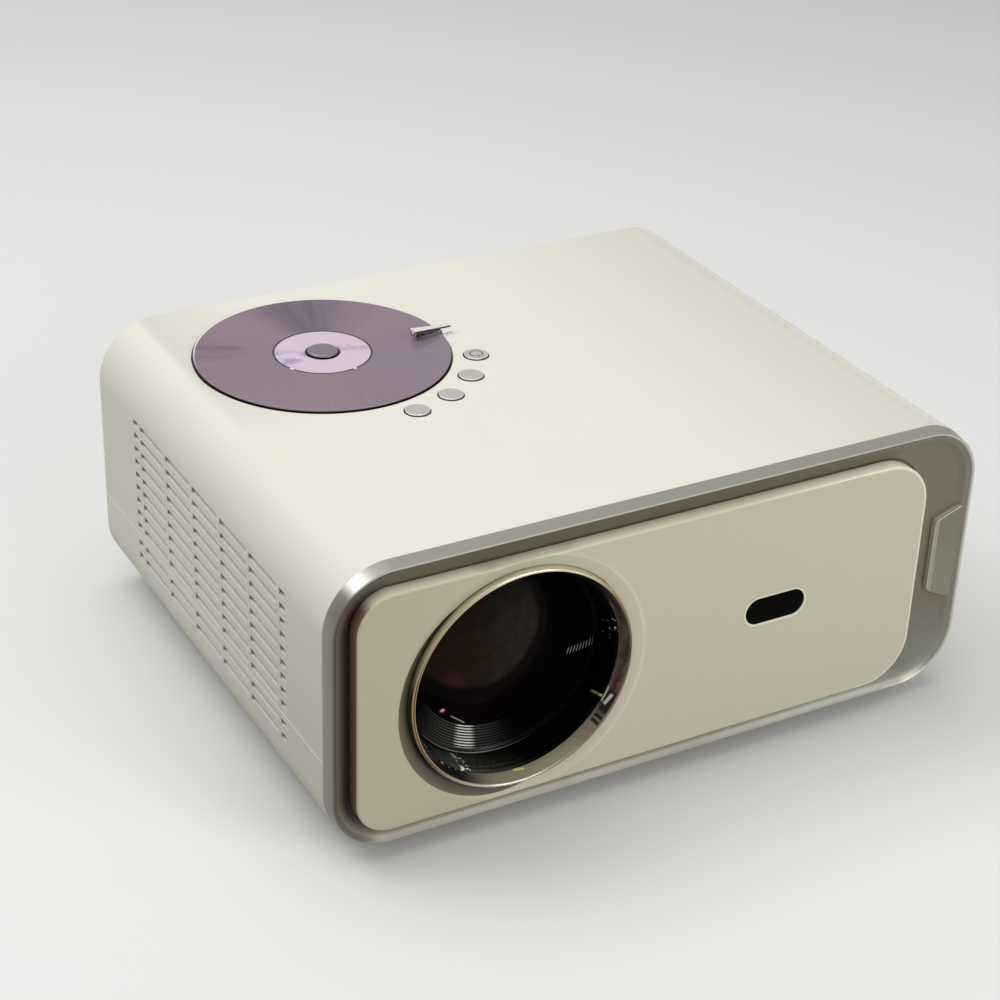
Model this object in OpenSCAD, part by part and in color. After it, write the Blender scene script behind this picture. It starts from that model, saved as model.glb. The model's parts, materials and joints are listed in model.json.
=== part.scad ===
// Home video projector with a top-loading disc player in its lid.
// Millimetres. X to the right seen from the front, Y to the rear, Z up.
// The origin is the middle of the footprint, on the surface that the feet stand on.

/* [Casing] */
// Width of the casing
body_w = 324.8; // [322:0.1:340]
// Depth from the front rim to the rear edge
body_d = 261; // [259:0.5:280]
// Height of the casing without its feet
body_h = 135.6; // [134:0.1:142]
// Radius of the four long edges
corner_r = 29; // [24:0.1:31]
// Thickness of the casing wall
wall = 3; // [2.6:0.1:3.4]
// Height of the split line above the casing floor
seam_h = 45.3; // [44.8:0.1:45.4]
// Height of the rubber feet below the casing
foot_h = 6; // [5:0.5:8]

/* [Front] */
// Depth of the metal frame's outer band
band_d = 7; // [5:0.1:7.8]
// How far the frame tapers in towards its rim
band_taper = 1.3; // [0.3:0.1:1.6]
// Width of the narrow crest round the frame
lip_w = 0.5; // [0.3:0.1:1]
// Width of the hollow slope from the crest in to the panel
cove_w = 6.9; // [5:0.1:7]
// How far the panel stands in front of the rim
panel_proud = 4; // [3:0.1:4.5]
// Margin between panel and casing at the left, top and bottom
panel_margin = 10.2; // [9.6:0.1:12]
// Margin between panel and casing at the right
panel_margin_right = 31; // [28:0.5:34]
// Radius of the panel's right corners
panel_r = 22.5; // [18:0.5:26]
// Radius of the panel's left corners, concentric with the frame
panel_r_left = 17; // [15:0.5:22]
// How far the trim ring stands in front of the rim
ring_proud = 4.7; // [4.6:0.1:5.5]

/* [Lens] */
// Lens axis, from the middle of the casing
lens_x = -74.8; // [-78:0.1:-72]
// Lens axis above the casing floor
lens_h = 67.6; // [66:0.1:69]
// Outer radius of the trim ring
ring_r = 52.8; // [52:0.1:53.5]
// Outer radius of the shallow dish round the ring
dish_r = 58.5; // [57:0.1:60]
// Radius of the front glass that shows
glass_r = 37.3; // [36:0.1:37.6]
// Focus travel to each side of the middle
focus_travel = 4; // [1:0.5:4]

/* [Disc player] */
// Disc centre, from the middle of the casing
disc_x = -78.3; // [-81:0.1:-76]
// Disc centre, behind the middle of the footprint
disc_y = 59.3; // [56:0.1:59.8]
// Radius of the disc
disc_r = 60; // [60:0.1:60.2]
// Height of the disc's upper face above the casing top
disc_rise = 1.3; // [1.2:0.1:2]
// Travel of the laser pickup along its rods
pickup_travel = 32; // [20:1:32]

/* [Keys] */
// Radius of the round keys
key_r = 5.9; // [5.5:0.1:6.6]
// Distance of the keys from the disc centre
key_ring = 71.8; // [71.5:0.1:73]
// Travel of a key
key_travel = 0.8; // [0.4:0.1:0.9]

/* [Vents] */
// Height of a vent slot
slot_h = 3.2; // [3:0.1:3.6]
// Length of a vent slot
slot_l = 28.6; // [24:0.1:28.8]
// Distance between vent columns
slot_step = 31.7; // [31.5:0.1:32]
// Distance between vent rows
row_step = 6.9; // [6.8:0.1:7]
// Shift of the vent rows towards the rear
vent_shift = 1.6; // [0:0.1:2]

/* [Hidden] */
$fn = 96;
eps = 0.01;

// Levels and planes of the casing
floor_z = foot_h;
top_z = foot_h + body_h;
mid_z = foot_h + body_h / 2;
seam_z = foot_h + seam_h;
rim_y = (ring_proud - body_d) / 2;
rear_y = rim_y + body_d;
case_y = rim_y + band_d;
panel_y = rim_y - panel_proud;
lens_z = foot_h + lens_h;
inner_w = body_w - 2 * wall;
inner_h = body_h - 2 * wall;
inner_r = corner_r - wall;

// Front panel outline
panel_x0 = -body_w / 2 + panel_margin;
panel_x1 = body_w / 2 - panel_margin_right;
panel_w = panel_x1 - panel_x0;
panel_cx = (panel_x0 + panel_x1) / 2;
panel_h = body_h - 2 * panel_margin;
panel_seat_y = rim_y + 3.6;
panel_gap = 1.3;
cove_depth = 3;
crest_in = band_taper + lip_w;
window_x = 52.5;
window_z = foot_h + 68.7;
window_w = 31.2;
window_h = 13.1;

// Lens group, depths behind the rim plane
tube_r = 48;
flange_r = 47.5;
flange_y = rim_y + 14.6;
glass_y = rim_y + 21.6;
barrel_r = 40;
barrel_end_y = rim_y + 76;
barrel_ribs = 7;
sleeve_r = 43.5;
sleeve_y0 = rim_y + 32;
fit_gap = 0.06;

// Optical engine box
eng_x0 = -116;
eng_x1 = 40;
eng_hw = 40;
eng_hh = 37.5;
eng_wall = 3;
led_plate = 3;
sink_x1 = 100;

// Gears
gear_module = 0.6;
small_teeth = 18;
wheel_teeth = 36;
small_pitch_r = gear_module * small_teeth / 2;
wheel_pitch_r = gear_module * wheel_teeth / 2;
gear_slack = 0.14;
focus_rack_x = lens_x + 45;
focus_pinion_y = -72;

// Disc drive levels
disc_top = top_z + disc_rise;
disc_t = 1.2;
disc_low = disc_top - disc_t;
well_r = 60.8;
deck_top = top_z - 0.6;
drive_z = top_z - 27.6;
drive_t = 2;
hub_hole_r = 7.5;
post_r = 4.4;
rod_z = drive_z + 9;
rod_dx = 15;
rod_r = 1.5;
pickup_y = disc_y + 24;
turret_r = 3.2;
objective_r = 2.3;
sled_rack_x = disc_x - 23;
sled_rack_thick = 2.6;
drive_posts = [[-38, -24], [28, -24], [28, 45], [-38, 45]];
sled_pinion_x = sled_rack_x - small_pitch_r;
sled_pinion_y = disc_y + 28;
motor_pinion_y = sled_pinion_y - small_pitch_r - wheel_pitch_r;

// Swing arm
arm_x = disc_x + 64.9;
arm_y = disc_y - 2.75;
arm_len = 21;
arm_back = 1.2;
arm_angle = 188.3;
arm_tip_w = 4.3;
arm_end_w = 1.7;
arm_low = top_z + 4;
arm_high = top_z + 6.5;
arm_foot = arm_x - disc_x - disc_r - 0.5;
arm_pin_r = 0.85;

// Keys stand on an arc round the disc
key_first = -25.3;
key_pitch = -17.85;
key_rise = 0.7;
key_board_z = top_z - 14;
function key_x(i) = disc_x + key_ring * cos(key_first + i * key_pitch);
function key_y(i) = disc_y + key_ring * sin(key_first + i * key_pitch);

// Vent grid
vent_top = foot_h + 107;
vent_rows_upper = 9;
vent_low_top = foot_h + 42.2;
vent_rows_lower = 2;
vent_columns = 5;
short_slot = 5.6;
slot_gap = slot_step - slot_l;
vent_pad = 2.5;

// Fans
fan_size = 80;
fan_t = 20;
fan_x = body_w / 2 - wall - vent_pad - fan_t;

// Bosses and feet
boss_x = 128;
boss_front_y = -75;
boss_rear_y = 46;
boss_h = 30;
rear_boss_x = 149;
foot_x = 118;
foot_y = 98;
adjuster_y = -100;
mount_x = 60;
mount_y = 50;
cover_y = rear_y - 4.5;

// Optics
lens_curve = 105;
mirror_t = 3;
sheet_x = [-30, -20, -8];
sheet_t = 1.6;

// Boards, sockets and speakers
board_z = floor_z + 14;
socket_z = board_z + 1.6;
hdmi_x = [-18, 6];
hdmi_w = 15;
hdmi_h = 6;
usb_x = 32;
inlet_x = 118;
inlet_z = floor_z + 28;
inlet_w = 27;
inlet_h = 20;
speaker_x = 112;
speaker_z = floor_z + 76;

// ---- helpers ----
module block(x0, x1, y0, y1, z0, z1) translate([x0, y0, z0]) cube([x1 - x0, y1 - y0, z1 - z0]);

module rounded(w, h, r) {
    square([w - 2 * r, h], center = true);
    square([w, h - 2 * r], center = true);
    for (sx = [-1, 1], sy = [-1, 1]) translate([sx * (w / 2 - r), sy * (h / 2 - r)]) circle(r);
}

// Panel outline grown by g, with its own radius at each side
module panel_outline(g) {
    w = panel_w + 2 * g;
    h = panel_h + 2 * g;
    left = panel_r_left + g;
    right = panel_r + g;
    translate([left - w / 2, -h / 2]) square([w - left - right, h]);
    translate([-w / 2, left - h / 2]) square([w / 2, h - 2 * left]);
    translate([0, right - h / 2]) square([w / 2, h - 2 * right]);
    for (sy = [-1, 1]) {
        translate([left - w / 2, sy * (h / 2 - left)]) circle(left);
        translate([w / 2 - right, sy * (h / 2 - right)]) circle(right);
    }
}

module panel_prism(g, y0, y1)
    translate([panel_cx, y1, mid_z]) rotate([90, 0, 0]) linear_extrude(height = y1 - y0) panel_outline(g);

module prism_y(w, h, r, y0, y1, cx, cz)
    translate([cx, y1, cz]) rotate([90, 0, 0]) linear_extrude(height = y1 - y0) rounded(w, h, r);

module rod_along_y(r, y0, y1, x, z)
    translate([x, y0, z]) rotate([-90, 0, 0]) cylinder(r = r, h = y1 - y0);

module rod_along_x(r, x0, x1, y, z)
    translate([x0, y, z]) rotate([0, 90, 0]) cylinder(r = r, h = x1 - x0);

module post(x, y, r, z0, z1) translate([x, y, z0]) cylinder(r = r, h = z1 - z0);

// A solid of revolution about the lens axis, from [radius, y] points
module turned_on_lens(points)
    translate([lens_x, 0, lens_z]) rotate([-90, 0, 0]) rotate_extrude() polygon(points);

// Involute tooth flank point on base radius rb at unwinding angle t
function involute(rb, t) = [rb * (cos(t) + t * PI / 180 * sin(t)), rb * (sin(t) - t * PI / 180 * cos(t))];
function unwind(rb, r) = r <= rb ? 0 : sqrt(pow(r / rb, 2) - 1) * 180 / PI;
function turn(p, a) = [p[0] * cos(a) - p[1] * sin(a), p[0] * sin(a) + p[1] * cos(a)];
function polar(p) = atan2(p[1], p[0]);

// Outline of a spur gear with a tooth centred on the +X axis
function gear_points(teeth) =
    let (rp = gear_module * teeth / 2, rb = rp * cos(20), ro = rp + gear_module,
         rr = rp - 1.25 * gear_module, steps = 4,
         pitch_angle = polar(involute(rb, unwind(rb, rp))),
         half = 90 / teeth - gear_slack / 2 / rp * 180 / PI,
         flank = [for (k = [0:steps]) involute(rb, unwind(rb, max(rb, rr) + (ro - max(rb, rr)) * k / steps))],
         side = concat([[rr, 0]], flank),
         lead = [for (p = side) turn(p, -half - pitch_angle)])
    [for (i = [0:teeth - 1]) for (k = [0:2 * (steps + 2) - 1])
        let (n = steps + 2, p = k < n ? lead[k] : [lead[2 * n - 1 - k][0], -lead[2 * n - 1 - k][1]])
        turn(p, i * 360 / teeth)];

module gear(teeth, h, phase) rotate([0, 0, phase]) linear_extrude(height = h) polygon(gear_points(teeth));

// Straight rack along +Y with its pitch line on x = 0, teeth pointing to +X, a tooth centred on y = 0
module rack(y0, y1, h, back) {
    pitch = PI * gear_module;
    a = gear_module;
    d = 1.25 * gear_module;
    half = pitch / 4 - gear_slack / 2;
    first = ceil(y0 / pitch + 0.5);
    last = floor(y1 / pitch - 0.5);
    linear_extrude(height = h) {
        translate([-back, y0]) square([back - d, y1 - y0]);
        for (i = [first:last]) translate([0, i * pitch])
            polygon([[-d - eps, -half - (d + eps) * tan(20)], [a, -half + a * tan(20)],
                     [a, half - a * tan(20)], [-d - eps, half + (d + eps) * tan(20)]]);
    }
}

// ---- casing ----
module case_shell(y0, y1) difference() {
    prism_y(body_w, body_h, corner_r, y0, y1, 0, mid_z);
    prism_y(inner_w, inner_h, inner_r, y0 - 1, y1 + 1, 0, mid_z);
}

// Vent slots of one side wall: side is -1 for the left and 1 for the right
module vent_slots(side, top, rows) {
    x0 = side < 0 ? -body_w / 2 - 1 : body_w / 2 - wall - vent_pad - 2;
    x1 = x0 + wall + vent_pad + 3;
    span = vent_columns * slot_step - slot_gap;
    y0 = vent_shift - span / 2;
    for (row = [0:rows - 1]) {
        z1 = top - row * row_step;
        for (col = [0:vent_columns - 1])
            block(x0, x1, y0 + col * slot_step, y0 + col * slot_step + slot_l, z1 - slot_h, z1);
        for (s = [-1, 1])
            translate([x0, vent_shift + s * (span / 2 + slot_gap + short_slot / 2) - short_slot / 2, z1 - slot_h])
                cube([x1 - x0, short_slot, slot_h]);
    }
}

// Thick pad behind the vents, so that the slots read as deep louvres
module vent_pads(z0, z1) for (s = [0, 1]) mirror([s, 0, 0])
    block(body_w / 2 - wall - vent_pad, body_w / 2 - wall + 0.5, -92, 92, z0, z1);

// Rib from a boss at distance x out to the side wall
module web_to_side(sx, x, y0, y1, z0, z1) mirror([sx < 0 ? 1 : 0, 0, 0])
    block(x, body_w / 2 - wall + 0.5, y0, y1, z0, z1);

module upper_case() color("#E2E1D2") difference() {
    union() {
        intersection() {
            case_shell(case_y, rear_y);
            block(-body_w, body_w, -body_d, body_d, seam_z + 0.15, top_z + 1);
        }
        intersection() {
            vent_pads(seam_z + 0.15, vent_top + 2);
            prism_y(body_w - 1, body_h - 1, corner_r - 0.5, -95, 95, 0, mid_z);
        }
        for (sx = [-1, 1]) {
            for (y = [boss_front_y, boss_rear_y]) {
                post(sx * boss_x, y, 4.5, seam_z, seam_z + boss_h);
                web_to_side(sx, boss_x, y - 1.5, y + 1.5, seam_z + 0.15, seam_z + boss_h);
            }
            rod_along_y(5, cover_y - 14, cover_y, sx * rear_boss_x, top_z - 40);
            web_to_side(sx, rear_boss_x, cover_y - 14, cover_y, top_z - 43, top_z - 37);
        }
        for (a = [key_first + 12, key_first + 3 * key_pitch - 10])
            post(disc_x + 76 * cos(a), disc_y + 76 * sin(a), 2.6, key_board_z + 1.6, top_z - wall + 0.5);
    }
    post(disc_x, disc_y, well_r, top_z - 10, top_z + 1);
    for (i = [0:3]) post(key_x(i), key_y(i), key_r + 0.3, top_z - 10, top_z + 1);
    post(arm_x, arm_y, arm_pin_r + 0.35, top_z - 10, top_z + 1);
    for (sx = [-1, 1]) {
        for (y = [boss_front_y, boss_rear_y]) post(sx * boss_x, y, 1.5, seam_z - 1, seam_z + 24);
        rod_along_y(1.5, cover_y - 12, cover_y + 1, sx * rear_boss_x, top_z - 40);
    }
    for (s = [-1, 1]) vent_slots(s, vent_top, vent_rows_upper);
}

module lower_case() color("#DEDCCB") difference() {
    union() {
        intersection() {
            case_shell(case_y, rear_y);
            block(-body_w, body_w, -body_d, body_d, floor_z - 1, seam_z);
        }
        intersection() {
            vent_pads(floor_z + 20, seam_z);
            prism_y(body_w - 1, body_h - 1, corner_r - 0.5, -95, 95, 0, mid_z);
        }
        // tongue that locates the upper casing
        for (s = [-1, 1]) for (y = [-112, 100]) {
            x = s * (body_w / 2 - wall - 0.9);
            block(x - 0.8, x + 0.8, y, y + 14, seam_z - 8, seam_z + 3);
            block(x - 1, x + 1.2, y, y + 14, seam_z - 8, seam_z - 0.2);
        }
        for (sx = [-1, 1]) {
            for (y = [boss_front_y, boss_rear_y]) post(sx * boss_x, y, 4.5, floor_z + wall - 0.5, seam_z);
            intersection() {
                block(sx * rear_boss_x - 10, sx * rear_boss_x + 10, cover_y - 14, cover_y,
                    floor_z + 22, floor_z + 34);
                prism_y(body_w - 1, body_h - 1, corner_r - 0.5, 0, rear_y, 0, mid_z);
            }
            for (sy = [-1, 1]) {
                post(sx * foot_x, sy * foot_y, 11, floor_z + 0.5, floor_z + wall + 2);
                post(sx * mount_x, sy * mount_y, 6.5, floor_z + wall - 0.5, floor_z + 12);
            }
        }
        // pillars under the optical engine
        for (x = [eng_x0 + 10, eng_x1 - 10], s = [-1, 1])
            post(x, s * (eng_hw - 8), 5, floor_z + wall - 0.5, lens_z - eng_hh);
        // pillars under the boards
        for (x = [-34, 64, 84, 144], y = [60, 116]) post(x, y, 3.5, floor_z + wall - 0.5, floor_z + 14);
        // guide for the adjuster stem, and the boss of the tripod bush
        post(0, adjuster_y, 10, floor_z + wall - 0.5, floor_z + 34);
        post(0, 0, 9, floor_z + wall - 0.5, floor_z + 14);
        post(0, adjuster_y, 17, floor_z + 0.5, floor_z + 6);
    }
    for (sx = [-1, 1]) for (y = [boss_front_y, boss_rear_y]) {
        post(sx * boss_x, y, 1.6, floor_z - 1, seam_z + 1);
        post(sx * boss_x, y, 3.4, floor_z - 1, floor_z + 6);
    }
    for (sx = [-1, 1]) rod_along_y(1.5, cover_y - 12, cover_y + 1, sx * rear_boss_x, floor_z + 28);
    for (sx = [-1, 1], sy = [-1, 1]) {
        post(sx * foot_x, sy * foot_y, 9, floor_z - 1, floor_z + 2);
        post(sx * mount_x, sy * mount_y, 3.2, floor_z - 1, floor_z + 9);
    }
    post(0, 0, 5.5, floor_z - 1, floor_z + 11);
    post(0, adjuster_y, 15.5, floor_z - 1, floor_z + 2.6);
    post(0, adjuster_y, 6.3, floor_z - 1, floor_z + 9);
    post(0, adjuster_y, 4.06, floor_z - 1, floor_z + 35);
    for (s = [-1, 1]) vent_slots(s, vent_low_top, vent_rows_lower);
}

module rear_cover() color("#D9D7C8") difference() {
    prism_y(inner_w - 0.4, inner_h - 0.4, inner_r - 0.2, cover_y, cover_y + wall, 0, mid_z);
    for (sx = [-1, 1]) {
        for (z = [floor_z + 28, top_z - 40]) {
            rod_along_y(1.7, cover_y - 1, cover_y + 5, sx * rear_boss_x, z);
            rod_along_y(3.2, cover_y + 1.4, cover_y + 5, sx * rear_boss_x, z);
        }
        for (i = [-4:4]) let (half = sqrt(pow(20, 2) - pow(i * 4.2, 2)))
            block(sx * speaker_x - half, sx * speaker_x + half, cover_y - 1, cover_y + 5,
                speaker_z + i * 4.2 - 1, speaker_z + i * 4.2 + 1);
    }
    // upper exhaust slots
    for (row = [0:3], col = [-2:2])
        block(col * slot_step - slot_l / 2, col * slot_step + slot_l / 2, cover_y - 1, cover_y + 5,
            floor_z + 80 + row * row_step, floor_z + 80 + row * row_step + slot_h);
    for (x = hdmi_x) block(x - hdmi_w / 2 - 0.3, x + hdmi_w / 2 + 0.3, cover_y - 1, cover_y + 5,
        socket_z - 0.3, socket_z + hdmi_h + 0.3);
    block(usb_x - 7.3, usb_x + 7.3, cover_y - 1, cover_y + 5, socket_z - 0.3, socket_z + 7.3);
    block(inlet_x - inlet_w / 2 - 0.3, inlet_x + inlet_w / 2 + 0.3, cover_y - 1, cover_y + 5,
        inlet_z - inlet_h / 2 - 0.3, inlet_z + inlet_h / 2 + 0.3);
}

// ---- front ----
// Thin slab of the frame's outline, inset from the casing's outline
module slab_y(inset, y)
    prism_y(body_w - 2 * inset, body_h - 2 * inset, corner_r - inset, y, y + eps, 0, mid_z, $fn = 64);

module front_frame() color("#A9A89A") difference() {
    union() {
        hull() {
            slab_y(band_taper, rim_y);
            slab_y(0, case_y - eps);
        }
        prism_y(inner_w - 0.3, inner_h - 0.3, inner_r - 0.15, case_y - 0.2, case_y + 3.2, 0, mid_z);
    }
    // hollow slope in two facets, steep at the crest and flatter at the floor
    hull() {
        slab_y(crest_in, rim_y - eps);
        slab_y(crest_in + cove_w * 0.38, rim_y + cove_depth * 0.58);
    }
    hull() {
        slab_y(crest_in + cove_w * 0.38 - 0.02, rim_y + cove_depth * 0.58 - 0.02);
        slab_y(crest_in + cove_w, rim_y + cove_depth);
    }
    panel_prism(panel_gap, rim_y + 1, panel_seat_y);
    panel_prism(-5, rim_y, case_y + 5);
    rod_along_y(ring_r + 2, rim_y, case_y + 5, lens_x, lens_z);
    side_tab_solid();
}

module front_panel() color("#BDB5A0") difference() {
    panel_prism(0, panel_y, panel_seat_y);
    panel_prism(-2.5, panel_y + 4, panel_seat_y + 1);
    // dish, then the hole that the trim ring stands in
    turned_on_lens([[0, panel_y - 1], [dish_r + 0.2, panel_y - 1], [dish_r, panel_y],
        [ring_r + 0.4, panel_y + 2.6], [ring_r + 0.15, panel_y + 5], [0, panel_y + 5]]);
    prism_y(window_w, window_h, window_h / 2 - eps, panel_y - 1, panel_y + 5, window_x, window_z);
}

module side_tab() color("#9C9C90") side_tab_solid();

// Raised plate on the frame's floor at the right, let 1 mm into it
module side_tab_solid() {
    x0 = panel_x1 + 11.3;
    x1 = body_w / 2 - 5.4;
    back = rim_y + cove_depth + 1;
    translate([0, back, floor_z]) rotate([90, 0, 0]) linear_extrude(height = back - rim_y - 0.3)
        polygon([[x0, 52], [x0 + 1.2, 50.2], [x0 + 6.3, 47.2], [x1, 43.8], [x1, 92.7], [x0 + 1.9, 88],
            [x0, 85.2]]);
}

module ir_window() color("#17141A") union() {
    prism_y(window_w - 0.2, window_h - 0.2, window_h / 2 - 0.1 - eps, panel_y + 0.3, panel_y + 4,
        window_x, window_z);
    prism_y(window_w + 4, window_h + 4, window_h / 2 + 1.9, panel_y + 4, panel_y + 5.4, window_x, window_z);
}

module lens_trim_ring() color("#8A6F5E")
    turned_on_lens([[ring_r - 1, rim_y - ring_proud], [ring_r - 0.3, rim_y - ring_proud + 0.25],
        [ring_r, rim_y - ring_proud + 0.9], [ring_r, rim_y + 3], [tube_r + 2.1, rim_y + 3],
        [tube_r + 2.1, rim_y + 1.6], [tube_r + 1.2, rim_y + 1.4], [ring_r - 1.6, rim_y - ring_proud + 0.3]]);

module lens_shroud() color("#101012")
    turned_on_lens([[tube_r, rim_y + 1.6], [tube_r + 2, rim_y + 1.6], [tube_r + 2, rim_y + 3],
        [ring_r + 1.2, rim_y + 3], [ring_r + 1.2, rim_y + 5], [tube_r + 2, rim_y + 5],
        [tube_r + 2, sleeve_y0], [barrel_r + 0.6, sleeve_y0], [barrel_r + 0.6, sleeve_y0 - 2],
        [tube_r, sleeve_y0 - 2]]);

// ---- lens group ----
module lens_sleeve() color("#2A2A2C") difference() {
    union() {
        rod_along_y(sleeve_r, sleeve_y0, -eng_hw, lens_x, lens_z);
        block(lens_x - 41, lens_x + 46, -eng_hw - 4, -eng_hw, lens_z - eng_hh, lens_z + eng_hh);
    }
    rod_along_y(barrel_r + fit_gap, sleeve_y0 - 1, -eng_hw + 1, lens_x, lens_z);
    block(lens_x + 34, lens_x + 50, sleeve_y0 - 1, -eng_hw - 6, lens_z - 5, lens_z + 5);
}

// Stepped baffle points from the flange edge in to the glass
function baffle_points() = [for (i = [0:barrel_ribs - 1])
    let (r0 = flange_r - 1.2 - i * (flange_r - 1.2 - glass_r) / barrel_ribs,
         r1 = flange_r - 1.2 - (i + 1) * (flange_r - 1.2 - glass_r) / barrel_ribs,
         y0 = flange_y + i * (glass_y - flange_y) / barrel_ribs,
         y1 = flange_y + (i + 1) * (glass_y - flange_y) / barrel_ribs)
    each [[r0, y1 - 0.2], [r1, y1]]];

module lens_barrel() color("#161617") {
    difference() {
        turned_on_lens(concat([[flange_r, flange_y + 9], [flange_r, flange_y], [flange_r - 1.2, flange_y]],
            baffle_points(),
            [[glass_r, glass_y + 0.5], [glass_r + 1.2, glass_y + 0.5], [glass_r + 1.2, glass_y + 8],
             [glass_r - 2, glass_y + 8], [glass_r - 4, barrel_end_y - 10], [30.1, barrel_end_y - 10],
             [30.1, barrel_end_y], [barrel_r, barrel_end_y], [barrel_r, flange_y + 9]]));
        rod_along_y(1.5, barrel_end_y - 8, barrel_end_y + 1, lens_x, lens_z + 35.5);
    }
    // focus rack on the side of the barrel
    translate([focus_rack_x, focus_pinion_y, lens_z - 3])
        rack(-11.3, 11.3, 6, focus_rack_x - lens_x - barrel_r + 1.2);
}

module front_lens() color("#4A5A55", 0.6) union() {
    rod_along_y(glass_r + 1.2, glass_y + 0.5, glass_y + 8, lens_x, lens_z);
    intersection() {
        rod_along_y(glass_r - 0.05, glass_y - 12, glass_y + 1, lens_x, lens_z);
        translate([lens_x, glass_y - 0.2 + sqrt(pow(lens_curve, 2) - pow(glass_r, 2)), lens_z])
            sphere(r = lens_curve, $fn = 160);
    }
}
module rear_lens() color("#6A7A75", 0.6) union() {
    rod_along_y(30.1, barrel_end_y - 9.5, barrel_end_y - 2, lens_x, lens_z);
    intersection() {
        rod_along_y(29, barrel_end_y - 3, barrel_end_y + 8, lens_x, lens_z);
        translate([lens_x, barrel_end_y + 3 - 70, lens_z]) sphere(r = 70, $fn = 120);
    }
}

module focus_motor() color("#8E8E90") difference() {
    union() {
        post(focus_rack_x + small_pitch_r, focus_pinion_y, 7, lens_z - 21, lens_z - 7);
        post(focus_rack_x + small_pitch_r, focus_pinion_y, 1, lens_z - 8, lens_z + 5);
        block(focus_rack_x - 2, focus_rack_x + 16, focus_pinion_y - 10, -eng_hw - 4, lens_z - 22.5, lens_z - 21);
        block(focus_rack_x - 2, focus_rack_x + 16, -eng_hw - 5.5, -eng_hw - 4, lens_z - 34, lens_z - 21);
    }
    rod_along_y(1.6, -eng_hw - 8, -eng_hw, focus_rack_x + 7, lens_z - 29);
}

module focus_pinion() color("#D8D2C0") translate([focus_rack_x + small_pitch_r, focus_pinion_y, lens_z - 3.5])
    difference() {
        gear(small_teeth, 7, 180 + 180 / small_teeth);
        translate([0, 0, -1]) cylinder(r = 1.05, h = 9);
    }

// ---- optical engine ----
module optical_housing() color("#3A3B3D") difference() {
    block(eng_x0, eng_x1, -eng_hw, eng_hw, lens_z - eng_hh, lens_z + eng_hh - eng_wall);
    difference() {
        block(eng_x0 + eng_wall, eng_x1 - eng_wall, -eng_hw + eng_wall, eng_hw - eng_wall,
            lens_z - eng_hh + eng_wall, lens_z + eng_hh);
        mirror_backing();
        block(16, 20, -eng_hw, eng_hw, lens_z - eng_hh, lens_z + eng_hh - eng_wall);
    }
    rod_along_y(36, -eng_hw - 1, -eng_hw + eng_wall + 1, lens_x, lens_z);
    rod_along_x(30, 15, 21, 0, lens_z);
    block(eng_x1 - eng_wall - 1, eng_x1 + 1, -26, 26, lens_z - 26, lens_z + 26);
    for (x = sheet_x) sheet_groove(x);
    for (x = [eng_x0 + 10, eng_x1 - 10], s = [-1, 1])
        post(x, s * (eng_hw - 8), 1.6, lens_z - eng_hh - 1, lens_z - eng_hh + 4);
}

// Solid corner behind the fold mirror
module mirror_backing() {
    c = -lens_x + (mirror_t + 0.05) * sqrt(2);
    x0 = eng_x0 + eng_wall;
    y1 = eng_hw - eng_wall;
    translate([0, 0, lens_z - eng_hh]) linear_extrude(height = 2 * eng_hh - eng_wall - 2)
        polygon([[x0 - 1, y1 + 1], [x0 - 1, x0 - 1 + c], [y1 + 1 - c, y1 + 1]]);
}
module sheet_groove(x) block(x - 0.1, x + sheet_t + 0.1, -eng_hw + 1.4, eng_hw - 1.4,
    lens_z - eng_hh + 1.4, lens_z + eng_hh);

module sheet(x) block(x, x + sheet_t, -eng_hw + 1.6, eng_hw - 1.6, lens_z - eng_hh + 1.5,
    lens_z + eng_hh - eng_wall - 0.1);

module optical_cover() color("#45474A") difference() {
    block(eng_x0, eng_x1, -eng_hw, eng_hw, lens_z + eng_hh - eng_wall, lens_z + eng_hh);
    for (x = [eng_x0 + 8, eng_x1 - 8], s = [-1, 1])
        post(x, s * (eng_hw - 1.8), 0.8, lens_z + eng_hh - 4, lens_z + eng_hh + 1);
}

module fold_mirror() color("#C8D2DA")
    translate([lens_x, 0, lens_z]) rotate([0, 0, 45])
        translate([-47, 0, -33]) cube([94, mirror_t, 66]);

module front_fresnel() color("#B8C4C8", 0.5) difference() {
    sheet(sheet_x[0]);
    fresnel_grooves(sheet_x[0] + sheet_t);
}
module rear_fresnel() color("#B8C4C8", 0.5) difference() {
    sheet(sheet_x[2]);
    fresnel_grooves(sheet_x[2] + sheet_t);
}
// Ring grooves in the face of a fresnel sheet
module fresnel_grooves(face_x) for (r = [6:6:30])
    translate([face_x - 0.4, 0, lens_z]) rotate([0, 90, 0]) difference() {
        cylinder(r = r, h = 1);
        translate([0, 0, -1]) cylinder(r = r - 0.8, h = 3);
    }

module lcd_panel() color("#2B3A4A") union() {
    difference() {
        sheet(sheet_x[1]);
        block(sheet_x[1] - 1, sheet_x[1] + sheet_t + 1, -31, 31, lens_z - 24, lens_z + 24);
    }
    block(sheet_x[1] + 0.3, sheet_x[1] + sheet_t - 0.3, -31, 31, lens_z - 24, lens_z + 24);
}

module condenser_lens() color("#9FB4B8", 0.5) union() {
    rod_along_x(29.9, 16.2, 20, 0, lens_z);
    intersection() {
        rod_along_x(29.9, 5, 17, 0, lens_z);
        translate([7 + 50, 0, lens_z]) sphere(r = 50, $fn = 120);
    }
}

module led_module() color("#C87F4A") union() {
    block(eng_x1, eng_x1 + led_plate, -30, 30, lens_z - 30, lens_z + 30);
    block(eng_x1 - 1.6, eng_x1 + eps, -8, 8, lens_z - 8, lens_z + 8);
}

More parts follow.
